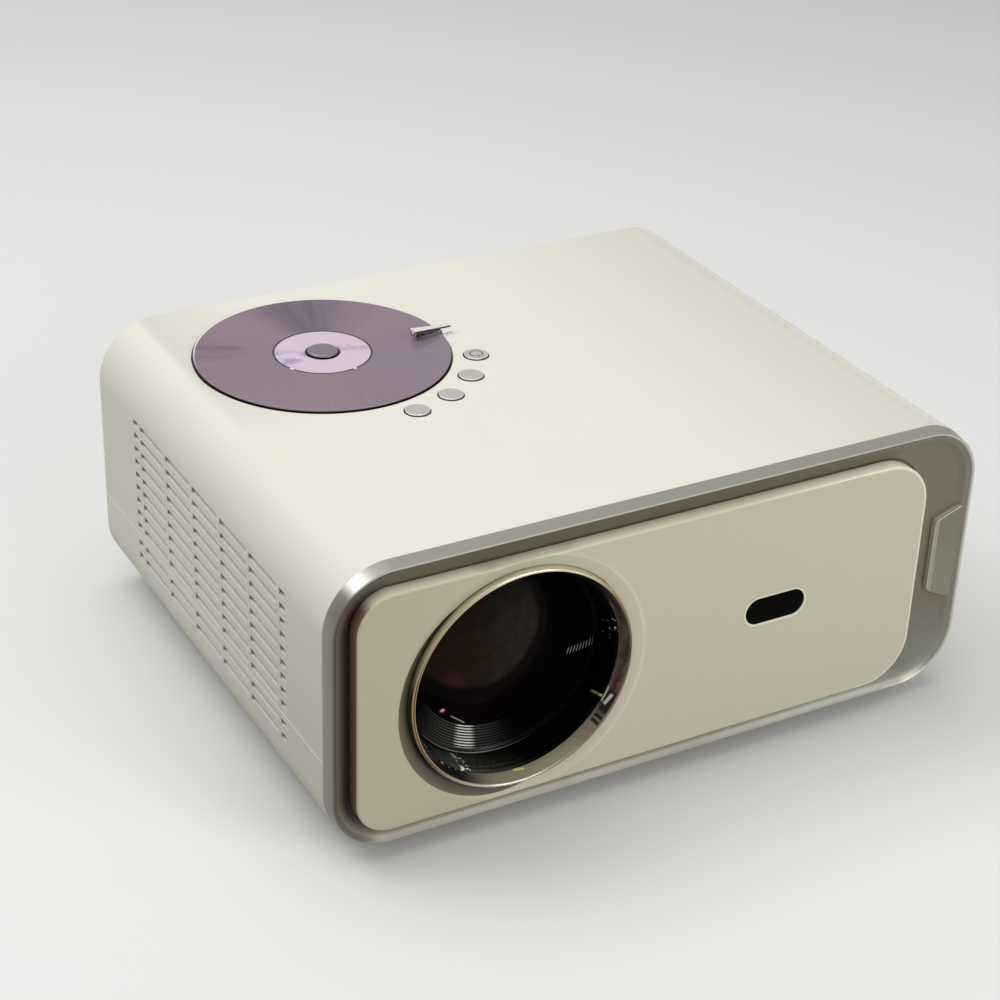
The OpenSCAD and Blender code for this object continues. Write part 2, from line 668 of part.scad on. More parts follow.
module heat_sink() color("#B9BCC0") union() {
    block(eng_x1 + led_plate, eng_x1 + led_plate + 6, -38, 38, lens_z - 36, lens_z + 36);
    for (i = [0:13]) block(eng_x1 + led_plate + 5, sink_x1, -38 + i * 5.73, -38 + i * 5.73 + 1.5,
        lens_z - 36, lens_z + 36);
}

// ---- fans: local X runs out through the side wall ----
module fan_frame() difference() {
    translate([0, -fan_size / 2, -fan_size / 2]) cube([fan_t, fan_size, fan_size]);
    difference() {
        rod_along_x(38, -1, fan_t + 1, 0, 0);
        rod_along_x(14, 0, 3, 0, 0);
        for (a = [0:120:240]) rotate([a, 0, 0]) translate([0, -2, 0]) cube([3, 4, 60]);
    }
    rod_along_x(1.55, -1, 4, 0, 0);
    for (sy = [-1, 1], sz = [-1, 1]) rod_along_x(2.2, -1, fan_t + 1, sy * 35.75, sz * 35.75);
}

module fan_rotor() {
    rod_along_x(13.5, 4, fan_t - 1, 0, 0);
    rod_along_x(1.5, 0.5, 5, 0, 0);
    intersection() {
        rod_along_x(36.8, 4, fan_t - 1, 0, 0);
        for (i = [0:6]) rotate([i * 360 / 7, 0, 0]) translate([11.5, 0, 0]) rotate([0, 0, 40])
            translate([-9, -0.8, 12]) cube([18, 1.6, 30]);
    }
}

module fan_place(side) translate([side * fan_x, 0, lens_z]) rotate([0, 0, side < 0 ? 180 : 0]) children();

module exhaust_fan_frame() color("#202022") fan_place(1) fan_frame();
module exhaust_rotor() color("#2C2C30") fan_place(1) fan_rotor();
module intake_fan_frame() color("#202022") fan_place(-1) fan_frame();
module intake_rotor() color("#2C2C30") fan_place(-1) fan_rotor();

// ---- disc drive ----
module deck_plate() color("#1B1918") difference() {
    union() {
        intersection() {
            post(disc_x, disc_y, well_r - 0.3, top_z - wall - 2.4, deck_top);
            prism_y(body_w - 1.2, body_h - 1.2, corner_r - 0.6, disc_y - 70, disc_y + 70, 0, mid_z);
        }
        intersection() {
            post(disc_x, disc_y, well_r + 1, top_z - wall - 2.4, top_z - wall);
            prism_y(inner_w - 0.6, inner_h, inner_r - 0.3, disc_y - 70, disc_y + 70, 0, mid_z);
        }
    }
    post(disc_x, disc_y, 18.5, top_z - 20, top_z + 1);
    // slot that the pickup looks through
    block(disc_x - turret_r - 1, disc_x + turret_r + 1, disc_y, disc_y + 56, top_z - 20, top_z + 1);
    post(disc_x, disc_y + 55.3, turret_r + 1, top_z - 20, top_z + 1);
}

module drive_frame() color("#5A5C60") difference() {
    union() {
        block(disc_x - 42, disc_x + 32, disc_y - 28, disc_y + 68.2, drive_z, drive_z + drive_t);
        for (sx = [-1, 1]) for (y = [disc_y + 15.5, disc_y + 66.2])
            block(disc_x + sx * rod_dx - 3, disc_x + sx * rod_dx + 3, y - 0.5, y + 2, drive_z + 1, rod_z + 3);
        for (p = drive_posts) post(disc_x + p[0], disc_y + p[1], 3.5, drive_z + 1, top_z - wall - 2.4);
        post(sled_pinion_x, sled_pinion_y, 1.2, drive_z + 1, drive_z + 11);
    }
    for (sx = [-1, 1]) rod_along_y(rod_r, disc_y + 14, disc_y + 71, disc_x + sx * rod_dx, rod_z);
    post(disc_x, disc_y, post_r, drive_z - 1, drive_z + 5);
    post(sled_pinion_x, motor_pinion_y, 3, drive_z - 1, drive_z + 5);
    for (p = drive_posts) post(disc_x + p[0], disc_y + p[1], 1.3, drive_z - 1, drive_z + 16);
}

module spindle_base() color("#A8ABB0") difference() {
    union() {
        post(disc_x, disc_y, 13.5, drive_z + drive_t, drive_z + 4);
        post(disc_x, disc_y, 7, drive_z + 3, drive_z + 5.5);
        for (a = [0:40:320]) translate([disc_x, disc_y, 0]) rotate([0, 0, a])
            block(6.5, 11.5, -1.2, 1.2, drive_z + 3.5, drive_z + 5.5);
    }
    post(disc_x, disc_y, post_r, drive_z, drive_z + 8);
}

module centre_post() color("#C9C9C9") difference() {
    post(disc_x, disc_y, post_r, drive_z, disc_low);
    post(disc_x, disc_y, 2.06, drive_z + 3, disc_top);
}

// Rotor bell, hollow shaft and the plate that carries the disc
module turntable() color("#232326") translate([disc_x, disc_y, 0]) rotate_extrude() polygon([
    [post_r + fit_gap, drive_z + 6], [13.8, drive_z + 6], [13.8, drive_z + 15], [7.2, drive_z + 15],
    [7.2, disc_low - 2.6], [16.5, disc_low - 2.6], [17, disc_low - 2.1], [17, disc_low],
    [hub_hole_r - 0.08, disc_low], [hub_hole_r - 0.08, disc_low + 0.3], [hub_hole_r - 0.4, disc_low + 0.6],
    [post_r + fit_gap, disc_low + 0.6]]);

// Data disc: a raised stacking ring, and a chamfer at the hole
module disc() color("#95838F") translate([disc_x, disc_y, 0]) rotate_extrude() polygon([
    [hub_hole_r, disc_low], [disc_r - 0.2, disc_low], [disc_r, disc_low + 0.2], [disc_r, disc_top - 0.2],
    [disc_r - 0.2, disc_top], [23.3, disc_top], [23.1, disc_top - 0.12], [22.6, disc_top - 0.12],
    [22.4, disc_top], [hub_hole_r + 0.75, disc_top], [hub_hole_r, disc_top - 0.5]]);

module centre_key() color("#8B7F88") translate([disc_x, disc_y, 0]) union() {
    rotate_extrude() polygon([[0, disc_low + 1.6], [6.9, disc_low + 1.6], [6.9, disc_top + 0.9],
        [6.4, disc_top + 1.25], [0, disc_top + 1.25]]);
    translate([0, 0, drive_z + 6]) cylinder(r = 2, h = disc_low + 2 - drive_z - 6);
}

module sled_rods() color("#D0D0D2") for (sx = [-1, 1])
    rod_along_y(rod_r, disc_y + 14.8, disc_y + 68.2, disc_x + sx * rod_dx, rod_z);

module pickup_sled() color("#3C3E42") difference() {
    union() {
        block(disc_x - 20, disc_x + 20, pickup_y - 6, pickup_y + 9, rod_z - 3, rod_z + 3);
        block(disc_x - 8, disc_x + 8, pickup_y - 6, pickup_y + 9, rod_z - 1, rod_z + 9.5);
        post(disc_x, pickup_y, turret_r, rod_z + 8, deck_top - 0.4);
        translate([sled_rack_x, sled_pinion_y, rod_z - 3]) mirror([1, 0, 0])
            rack(-pickup_travel - 4.2, 4.2, 2.6, sled_rack_thick);
        block(sled_rack_x + gear_module * 1.25, disc_x - 19.5, pickup_y - 6, pickup_y + 9, rod_z - 3, rod_z - 0.4);
    }
    for (sx = [-1, 1])
        rod_along_y(rod_r + fit_gap, pickup_y - 8, pickup_y + 10, disc_x + sx * rod_dx, rod_z);
    post(disc_x, pickup_y, objective_r, deck_top - 1.6, deck_top + 1);
}

module objective_lens() color("#7FA0C0", 0.7) union() {
    post(disc_x, pickup_y, objective_r, deck_top - 1.6, deck_top - 0.6);
    intersection() {
        post(disc_x, pickup_y, objective_r - 0.2, deck_top - 1, deck_top + 0.4);
        translate([disc_x, pickup_y, deck_top + 0.3 - 6]) sphere(r = 6);
    }
}

module sled_motor() color("#9A9CA0") union() {
    post(sled_pinion_x, motor_pinion_y, 8, drive_z - 12, drive_z);
    post(sled_pinion_x, motor_pinion_y, 2.9, drive_z - 1, drive_z + 1.5);
    post(sled_pinion_x, motor_pinion_y, 0.9, drive_z, drive_z + 6);
}

module motor_pinion() color("#D8C070") translate([sled_pinion_x, motor_pinion_y, drive_z + 2.4]) difference() {
    gear(small_teeth, 3, 90 + 180 / small_teeth);
    translate([0, 0, -1]) cylinder(r = 0.95, h = 6);
}

module sled_gear() color("#E6E2D6") translate([sled_pinion_x, sled_pinion_y, drive_z + 2.4]) difference() {
    union() {
        gear(wheel_teeth, 3, -90);
        translate([0, 0, 2.9]) gear(small_teeth, rod_z - 3 + 2.6 - drive_z - 5.3 + 0.2, 180 / small_teeth);
    }
    translate([0, 0, -1]) cylinder(r = 1.25, h = 20);
}

// ---- swing arm ----
// Tapered bar with a foot by its pivot and a step up over the disc
module swing_arm() color("#C9C4CC") translate([arm_x, arm_y, 0]) rotate([0, 0, arm_angle]) union() {
    slope = (arm_high - arm_low) / (arm_len + arm_back);
    intersection() {
        translate([0, 0, top_z]) linear_extrude(height = arm_high - top_z + 1) polygon([
            [-arm_back, -arm_end_w / 2], [arm_len, -arm_tip_w / 2], [arm_len, arm_tip_w / 2],
            [-arm_back, arm_end_w / 2]]);
        translate([0, arm_tip_w, 0]) rotate([90, 0, 0]) linear_extrude(height = 2 * arm_tip_w) polygon([
            [-arm_back - 1, top_z + 0.3], [arm_foot, top_z + 0.3], [arm_foot + 0.4, disc_top + 1.3],
            [arm_len + 1, disc_top + 1.3], [arm_len + 1, arm_high + slope], [-arm_back - 1, arm_low - slope]]);
    }
    translate([0, 0, top_z - 9]) cylinder(r = arm_pin_r, h = 10.5);
    translate([0, 0, top_z - 9]) cylinder(r = 1.6, h = 0.8);
}

module arm_bush() color("#B8B4BA") difference() {
    union() {
        post(arm_x, arm_y, 2.4, top_z - 8, top_z - wall);
        post(arm_x, arm_y, 2.8, top_z - wall - 1.2, top_z - wall);
    }
    post(arm_x, arm_y, arm_pin_r + fit_gap, top_z - 10, top_z + 1);
}

// ---- keys ----
module key_cap(i) translate([key_x(i), key_y(i), 0]) union() {
    rotate_extrude() polygon([[0, top_z - 2], [key_r, top_z - 2], [key_r, top_z + key_rise - 0.6],
        [key_r - 0.6, top_z + key_rise], [0, top_z + key_rise]]);
    translate([0, 0, key_board_z + 5.4 + key_travel])
        cylinder(r = 3, h = top_z - 1.9 - key_board_z - 5.4 - key_travel);
    translate([0, 0, key_board_z + 3.4]) cylinder(r = 1.1, h = 4);
}

module power_key() color("#BDBAB4") difference() {
    key_cap(0);
    translate([key_x(0), key_y(0), top_z + key_rise - 0.25]) {
        difference() {
            cylinder(r = 3.3, h = 1);
            translate([0, 0, -1]) cylinder(r = 2.7, h = 3);
            translate([-1, -5, -1]) cube([2, 4, 3]);
        }
        translate([-0.3, -3.8, 0]) cube([0.6, 2.4, 1]);
    }
}
module key_2() color("#BDBAB4") key_cap(1);
module key_3() color("#BDBAB4") key_cap(2);
module key_4() color("#BDBAB4") key_cap(3);

// Circuit board on an arc under the keys, with one switch body for each key
module key_board() color("#2E6B45") difference() {
    union() {
        translate([disc_x, disc_y, key_board_z]) difference() {
            linear_extrude(height = 1.6) difference() {
                circle(82);
                circle(66);
                polygon([[0, 0], for (a = [-8:15:352 - 105]) [150 * cos(a), 150 * sin(a)]]);
            }
        }
        for (i = [0:3]) translate([key_x(i) - 3, key_y(i) - 3, key_board_z + 1.6]) cube([6, 6, 3.8]);
    }
    for (i = [0:3]) post(key_x(i), key_y(i), 1.2, key_board_z + 2.4, key_board_z + 8);
    for (a = [key_first + 12, key_first + 3 * key_pitch - 10])
        post(disc_x + 76 * cos(a), disc_y + 76 * sin(a), 1.2, key_board_z - 1, key_board_z + 3);
}

// ---- electronics ----
module main_board() color("#1F5A3C") union() {
    difference() {
        block(-40, 70, 54, 122, board_z, board_z + 1.6);
        for (x = [-34, 64], y = [60, 116]) post(x, y, 1.6, board_z - 1, board_z + 3);
    }
    block(0, 22, 70, 92, board_z + 1.5, board_z + 3.4);
    for (i = [0:5]) block(0 + i * 4.1, 1.5 + i * 4.1, 70, 92, board_z + 3.3, board_z + 12);
    for (x = [-28, -16], y = [70, 84]) block(x, x + 9, y, y + 11, board_z + 1.5, board_z + 2.8);
    block(38, 60, 60, 66, board_z + 1.5, board_z + 8);
}

module power_board() color("#8A6A2E") union() {
    difference() {
        block(76, 150, 54, 122, board_z, board_z + 1.6);
        for (x = [84, 144], y = [60, 116]) post(x, y, 1.6, board_z - 1, board_z + 3);
    }
    block(96, 124, 66, 92, board_z + 1.5, board_z + 24);
    for (y = [72, 86]) post(136, y, 6, board_z + 1.5, board_z + 28);
    for (y = [70, 80, 90]) post(85, y, 4, board_z + 1.5, board_z + 14);
    block(92, 128, 97, 100, board_z + 1.5, board_z + 20);
}

// Metal-shelled socket with a contact tongue, open to the rear
module socket(x, w, h, depth) {
    y1 = cover_y + wall - 0.4;
    difference() {
        block(x - w / 2, x + w / 2, y1 - depth, y1, socket_z, socket_z + h);
        block(x - w / 2 + 0.5, x + w / 2 - 0.5, y1 - depth + 2, y1 + 1, socket_z + 0.5, socket_z + h - 0.5);
    }
    block(x - w / 2 + 2, x + w / 2 - 2, y1 - depth + 1, y1 - 1.5, socket_z + h / 2 - 0.6, socket_z + h / 2 + 0.6);
}
module hdmi_sockets() color("#9A9A9A") for (x = hdmi_x) socket(x, hdmi_w, hdmi_h, 14);
module usb_socket() color("#9A9A9A") socket(usb_x, 14, 7, 16);

// Three-pin mains inlet with a recess that the lead pushes into
module mains_inlet() color("#151515") union() {
    y1 = cover_y + wall;
    difference() {
        union() {
            block(inlet_x - inlet_w / 2, inlet_x + inlet_w / 2, y1 - 20, y1, inlet_z - inlet_h / 2,
                inlet_z + inlet_h / 2);
            block(inlet_x - inlet_w / 2 - 2.5, inlet_x + inlet_w / 2 + 2.5, cover_y - 1.6, cover_y,
                inlet_z - inlet_h / 2 - 2, inlet_z + inlet_h / 2 + 2);
        }
        block(inlet_x - 12, inlet_x + 12, y1 - 15, y1 + 1, inlet_z - 8, inlet_z + 8);
    }
    for (p = [[-7, -1], [7, -1], [0, 3]])
        block(inlet_x + p[0] - 1, inlet_x + p[0] + 1, y1 - 16, y1 - 3, inlet_z + p[1], inlet_z + p[1] + 4);
}

// Loudspeaker: flange, basket, magnet and a coned membrane
module speaker(sx) translate([sx * speaker_x, cover_y, speaker_z]) rotate([90, 0, 0]) rotate_extrude() polygon([
    [0, 6], [5, 5.4], [18, 1.2], [22, 1.2], [22, 0], [25, 0], [25, 2.4], [22.5, 2.4], [15, 10], [15, 17],
    [0, 17]]);
module speaker_left() color("#2B2B2E") speaker(-1);
module speaker_right() color("#2B2B2E") speaker(1);

// ---- underside ----
module rubber_feet() color("#3A3A3A") for (sx = [-1, 1], sy = [-1, 1])
    translate([sx * foot_x, sy * foot_y, 0]) union() {
        translate([0, 0, floor_z - 1]) cylinder(r = 8.9, h = 3);
        rotate_extrude() polygon([[0, 0], [8.4, 0], [8.9, 0.5], [8.9, floor_z], [0, floor_z]]);
    }

module adjuster_wheel() color("#4A4A4C") difference() {
    union() {
        post(0, adjuster_y, 14, floor_z - 2.8, floor_z + 2.3);
        post(0, adjuster_y, 6, floor_z + 2, floor_z + 8.7);
    }
    for (a = [0:15:345]) translate([14.4 * cos(a), adjuster_y + 14.4 * sin(a), floor_z - 4])
        cylinder(r = 1.1, h = 8);
    post(0, adjuster_y, 4 + fit_gap, floor_z - 4, floor_z + 10);
}

module adjuster_foot() color("#3A3A3A") union() {
    post(0, adjuster_y, 9, 0.6, floor_z - 3.1);
    post(0, adjuster_y, 4, 1, floor_z + 31);
}

module threaded_inserts() color("#C9A24A") {
    for (sx = [-1, 1], sy = [-1, 1]) difference() {
        post(sx * mount_x, sy * mount_y, 3.2, floor_z, floor_z + 8.5);
        post(sx * mount_x, sy * mount_y, 2, floor_z - 1, floor_z + 7.5);
    }
    difference() {
        post(0, 0, 5.5, floor_z, floor_z + 11);
        post(0, 0, 3.175, floor_z - 1, floor_z + 9.5);
    }
}

module case_screws() color("#B0B0B2") {
    for (sx = [-1, 1]) {
        for (y = [boss_front_y, boss_rear_y]) {
            post(sx * boss_x, y, 1.5, floor_z + 6, seam_z + 20);
            difference() {
                post(sx * boss_x, y, 3, floor_z + 4, floor_z + 6);
                translate([sx * boss_x - 2, y - 0.4, floor_z + 3]) cube([4, 0.8, 1.8]);
                translate([sx * boss_x - 0.4, y - 2, floor_z + 3]) cube([0.8, 4, 1.8]);
            }
        }
        for (z = [floor_z + 28, top_z - 40]) difference() {
            union() {
                rod_along_y(1.5, cover_y - 11, cover_y + 1.5, sx * rear_boss_x, z);
                rod_along_y(3, cover_y + 1.4, cover_y + 2.9, sx * rear_boss_x, z);
            }
            translate([sx * rear_boss_x - 2, cover_y + 2, z - 0.4]) cube([4, 2, 0.8]);
            translate([sx * rear_boss_x - 0.4, cover_y + 2, z - 2]) cube([0.8, 2, 4]);
        }
    }
}

upper_case();
lower_case();
rear_cover();
front_frame();
front_panel();
side_tab();
ir_window();
lens_trim_ring();
lens_shroud();
lens_sleeve();
lens_barrel();
front_lens();
rear_lens();
focus_motor();
focus_pinion();
optical_housing();
optical_cover();
fold_mirror();
front_fresnel();
lcd_panel();
rear_fresnel();
condenser_lens();
led_module();
heat_sink();
exhaust_fan_frame();
exhaust_rotor();
intake_fan_frame();
intake_rotor();
deck_plate();
drive_frame();
spindle_base();
centre_post();
turntable();
disc();
centre_key();
sled_rods();
pickup_sled();
objective_lens();
sled_motor();
sled_gear();
motor_pinion();
swing_arm();
arm_bush();
power_key();
key_2();
key_3();
key_4();
key_board();
main_board();
power_board();
hdmi_sockets();
usb_socket();
mains_inlet();
speaker_left();
speaker_right();
rubber_feet();
adjuster_wheel();
adjuster_foot();
threaded_inserts();
case_screws();
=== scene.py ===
"""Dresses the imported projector: modelled pieces, procedural finishes, a plain studio and the camera."""

import json
import logging
import math
from dataclasses import dataclass
from enum import Enum
from typing import Any, Callable, Sequence

import bmesh
import bpy
from mathutils import Matrix, Vector


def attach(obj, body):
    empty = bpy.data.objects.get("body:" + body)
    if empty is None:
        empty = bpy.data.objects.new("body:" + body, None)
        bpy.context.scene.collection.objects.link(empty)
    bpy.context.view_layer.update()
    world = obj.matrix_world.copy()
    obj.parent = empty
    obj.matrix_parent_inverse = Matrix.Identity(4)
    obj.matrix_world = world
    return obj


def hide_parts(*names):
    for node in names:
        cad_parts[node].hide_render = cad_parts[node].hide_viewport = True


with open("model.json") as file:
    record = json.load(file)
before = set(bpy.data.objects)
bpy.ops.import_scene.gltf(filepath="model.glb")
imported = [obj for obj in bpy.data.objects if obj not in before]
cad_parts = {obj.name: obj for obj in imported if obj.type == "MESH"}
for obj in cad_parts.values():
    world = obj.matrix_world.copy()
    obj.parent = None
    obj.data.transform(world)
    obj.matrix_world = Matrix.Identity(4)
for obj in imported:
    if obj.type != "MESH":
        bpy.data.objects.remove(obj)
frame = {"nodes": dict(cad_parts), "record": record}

LOG = logging.getLogger("projector")
MM = 0.001
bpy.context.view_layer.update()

Colour = tuple[float, float, float]
Point = tuple[float, float, float]


class Axis(Enum):
    """The direction that a turned piece's axis points in."""

    UP = "up"
    FRONT = "front"


@dataclass(frozen=True)
class Outline:
    """A rectangle with round corners, whose left and right corners may differ. Millimetres.

    Attributes:
        width: size along X.
        height: size along Z.
        left: radius of the two left corners.
        right: radius of the two right corners.
        shift: how far its middle lies from the middle of the object.
    """

    width: float
    height: float
    left: float
    right: float
    shift: float = 0.0

    def grown(self, margin: float) -> "Outline":
        """The outline at a distance outside this one."""
        return Outline(self.width + 2 * margin, self.height + 2 * margin, self.left + margin,
                       self.right + margin, self.shift)


# --------------------------------------------------------------------------- shader maths


class Field:
    """A shader value or colour that combines with ordinary Python operators."""

    def __init__(self, recipe: "Recipe", socket: bpy.types.NodeSocket) -> None:
        """Wrap an output socket.

        Args:
            recipe: the material that the socket belongs to.
            socket: the output that carries the value.
        """
        self.recipe = recipe
        self.socket = socket

    def _maths(self, operation: str, first: Any, second: Any = None) -> "Field":
        """Add one Math node and return its value."""
        inputs = {0: first} if second is None else {0: first, 1: second}
        return self.recipe.node("ShaderNodeMath", {"operation": operation}, inputs)

    def __add__(self, other: Any) -> "Field":
        """Sum."""
        return self._maths("ADD", self, other)

    def __radd__(self, other: Any) -> "Field":
        """Sum with a number on the left."""
        return self._maths("ADD", other, self)

    def __sub__(self, other: Any) -> "Field":
        """Difference."""
        return self._maths("SUBTRACT", self, other)

    def __rsub__(self, other: Any) -> "Field":
        """Difference from a number on the left."""
        return self._maths("SUBTRACT", other, self)

    def __mul__(self, other: Any) -> "Field":
        """Product."""
        return self._maths("MULTIPLY", self, other)

    def __rmul__(self, other: Any) -> "Field":
        """Product with a number on the left."""
        return self._maths("MULTIPLY", other, self)

    def __truediv__(self, other: Any) -> "Field":
        """Quotient."""
        return self._maths("DIVIDE", self, other)

    def __pow__(self, other: Any) -> "Field":
        """Power."""
        return self._maths("POWER", self, other)

    def __abs__(self) -> "Field":
        """Size without its sign."""
        return self._maths("ABSOLUTE", self)

    def sine(self) -> "Field":
        """Sine of the value in radians."""
        return self._maths("SINE", self)

    def root(self) -> "Field":
        """Square root."""
        return self._maths("SQRT", self)

    def angle_to(self, other: "Field") -> "Field":
        """Angle in radians of the vector whose height is this value and whose length is the other."""
        return self._maths("ARCTAN2", self, other)

    def at_least(self, other: Any) -> "Field":
        """The larger of two values."""
        return self._maths("MAXIMUM", self, other)

    def at_most(self, other: Any) -> "Field":
        """The smaller of two values."""
        return self._maths("MINIMUM", self, other)

    def near(self, middle: float, half: float) -> "Field":
        """Ease from 1 at the middle to 0 at half a width on both sides of it.

        Args:
            middle: value that gives 1.
            half: distance at which it reaches 0.

        Returns:
            A value from 0 to 1.
        """
        return abs(self - middle).step(half, 0.0)

    def step(self, low: float, high: float) -> "Field":
        """Ease from 0 at low to 1 at high.

        Args:
            low: value that gives 0.
            high: value that gives 1; it may be below low.

        Returns:
            A value from 0 to 1.
        """
        settings = {"interpolation_type": "SMOOTHSTEP"}
        inputs = {"Value": self, "From Min": low, "From Max": high, "To Min": 0.0, "To Max": 1.0}
        return self.recipe.node("ShaderNodeMapRange", settings, inputs, "Result")


class Recipe:
    """A material that is written as expressions."""

    def __init__(self, name: str) -> None:
        """Start an empty node material.

        Args:
            name: the material's name.
        """
        self.material = bpy.data.materials.new(name)
        self.material.use_nodes = True
        self.tree = self.material.node_tree
        self.tree.nodes.clear()
        self._place: dict[str, Field] = {}

    def node(self, kind: str, settings: dict[str, Any], inputs: dict[Any, Any],
             output: int | str = 0) -> Field:
        """Add a node.

        Args:
            kind: the node's type.
            settings: its own properties, which are set first.
            inputs: values or links of its sockets, by name or number.
            output: the socket that is returned.

        Returns:
            The chosen output.
        """
        made = self.tree.nodes.new(kind)
        for key, value in settings.items():
            if key == "stops":
                self._fill_ramp(made, value)
            else:
                setattr(made, key, value)
        for key, value in inputs.items():
            if isinstance(value, Field):
                self.tree.links.new(value.socket, made.inputs[key])
            else:
                made.inputs[key].default_value = value
        return Field(self, made.outputs[output])

    @staticmethod
    def _fill_ramp(made: bpy.types.Node, stops: Sequence[tuple[float, Colour]]) -> None:
        """Put the stops on a colour ramp.

        Args:
            made: the ramp's node.
            stops: place and colour of each stop.
        """
        elements = made.color_ramp.elements
        while len(elements) < len(stops):
            elements.new(0.5)
        for element, (at, colour) in zip(elements, stops):
            element.position = at
            element.color = (*colour, 1.0)

    def place(self) -> tuple[Field, Field, Field]:
        """Object coordinates in metres.

        Returns:
            The X, Y and Z values.
        """
        if not self._place:
            where = self.node("ShaderNodeTexCoord", {}, {}, "Object")
            split = self.node("ShaderNodeSeparateXYZ", {}, {0: where}, "X").socket.node
            self._place = {"where": where, **{k: Field(self, split.outputs[k]) for k in "XYZ"}}
        return self._place["X"], self._place["Y"], self._place["Z"]

    def polar(self, across: float, along: float, flat: bool) -> tuple[Field, Field]:
        """Radius and direction about an axis, in metres and degrees.

        Args:
            across: X of the axis.
            along: Y of an upright axis, or Z of one that points to the front.
            flat: whether the axis is upright.

        Returns:
            The radius, and the angle from -180 to 180.
        """
        x, y, z = self.place()
        first, second = x - across, (y if flat else z) - along
        return (first * first + second * second).root(), second.angle_to(first) * math.degrees(1)

    def inset(self, across: Field, over: Field, outer: Point) -> Field:
        """Distance inwards from the edge of an upright rounded rectangle.

        Args:
            across: place across, from its middle.
            over: place upwards, from its middle.
            outer: half width, half height and corner radius in metres.

        Returns:
            The distance in metres, negative outside.
        """
        width, height, radius = outer
        out, up = across - (width - radius), abs(over) - (height - radius)
        corner = (out.at_least(0.0) ** 2 + up.at_least(0.0) ** 2).root()
        return radius - corner - out.at_least(up).at_most(0.0)

    def noise(self, scale: float, detail: float = 2.0, roughness: float = 0.5,
              stretch: Point | None = None) -> Field:
        """Noise over the object.

        Args:
            scale: lumps per metre.
            detail: octaves.
            roughness: share of the fine octaves.
            stretch: scale factors for X, Y and Z, if the noise is drawn out.

        Returns:
            Values about 0.5.
        """
        self.place()
        where = self._place["where"]
        if stretch is not None:
            where = self.node("ShaderNodeMapping", {}, {"Vector": where, "Scale": stretch})
        inputs = {"Vector": where, "Scale": scale, "Detail": detail, "Roughness": roughness}
        return self.node("ShaderNodeTexNoise", {}, inputs, 0)

    def ramp(self, value: Field, stops: Sequence[tuple[float, Colour]]) -> Field:
        """Colour for a value."""
        return self.node("ShaderNodeValToRGB", {"stops": stops}, {"Fac": value}, "Color")

    def blend(self, share: Any, under: Any, over: Any, mode: str = "MIX") -> Field:
        """Mix two colours.

        Args:
            share: how much of the upper colour shows.
            under: the lower colour.
            over: the upper colour.
            mode: Blender's blend type.

        Returns:
            The mixed colour.
        """
        pair = [(*c, 1.0) if isinstance(c, tuple) and len(c) == 3 else c for c in (under, over)]
        settings = {"data_type": "RGBA", "blend_type": mode}
        return self.node("ShaderNodeMix", settings, {0: share, 6: pair[0], 7: pair[1]}, 2)

    def bump(self, height: Field, strength: float, distance: float) -> Field:
        """Bumps from a height.

        Args:
            height: value between 0 and 1.
            strength: how strongly the normal tilts.
            distance: metres that the height stands for.

        Returns:
            The bent normal.
        """
        inputs = {"Height": height, "Strength": strength, "Distance": distance}
        return self.node("ShaderNodeBump", {}, inputs, "Normal")

    def surface(self, **sockets: Any) -> Field:
        """Add the main shader; an underscore in a name stands for a space."""
        inputs = {k.replace("_", " "): v for k, v in sockets.items()}
        return self.node("ShaderNodeBsdfPrincipled", {}, inputs, "BSDF")

    def finish(self, shader: Field) -> bpy.types.Material:
        """Connect the shader to the output and return the material.

        Args:
            shader: what the surface shows.

        Returns:
            The material.
        """
        output = self.tree.nodes.new("ShaderNodeOutputMaterial")
        self.tree.links.new(shader.socket, output.inputs["Surface"])
        return self.material


# --------------------------------------------------------------------------- finishes


@dataclass(frozen=True)
class Finish:
    """Moulded plastic, rubber or painted metal with a fine grain.

    Attributes:
        name: the material's name.
        colour: base colour.
        rough: mean roughness.
        rough_spread: how far the roughness wanders.
        metal: how metallic it is.
        coat: clear coat.
        grain: grains per metre.
        grain_depth: depth of the grain in metres.
        tint: colour that broad patches drift to.
        drift: how far they drift.
        shine: level of the plain reflection.
    """

    name: str
    colour: Colour
    rough: float = 0.5
    rough_spread: float = 0.08
    metal: float = 0.0
    coat: float = 0.0
    grain: float = 2600.0
    grain_depth: float = 0.00002
    tint: Colour = (0.5, 0.47, 0.42)
    drift: float = 0.04
    shine: float = 0.5

    def build(self) -> bpy.types.Material:
        """Write the material.

        Returns:
            The finished material.
        """
        r = Recipe(self.name)
        broad = r.noise(14.0, 3.0)
        fine = r.noise(self.grain, 2.0)
        patches = broad.step(0.35, 0.75) * self.drift
        colour = r.blend(patches, self.colour, self.tint)
        speck = r.blend(fine.step(0.3, 0.75) * 0.5, colour, tuple(c * 0.93 for c in self.colour))
        rough = (r.noise(60.0, 4.0) - 0.5) * (2 * self.rough_spread) + self.rough
        normal = r.bump(fine, 0.35, self.grain_depth)
        shader = r.surface(Base_Color=speck, Roughness=rough, Metallic=self.metal,
                           Coat_Weight=self.coat, Coat_Roughness=0.08, Specular_IOR_Level=self.shine,
                           Normal=normal)
        return r.finish(shader)


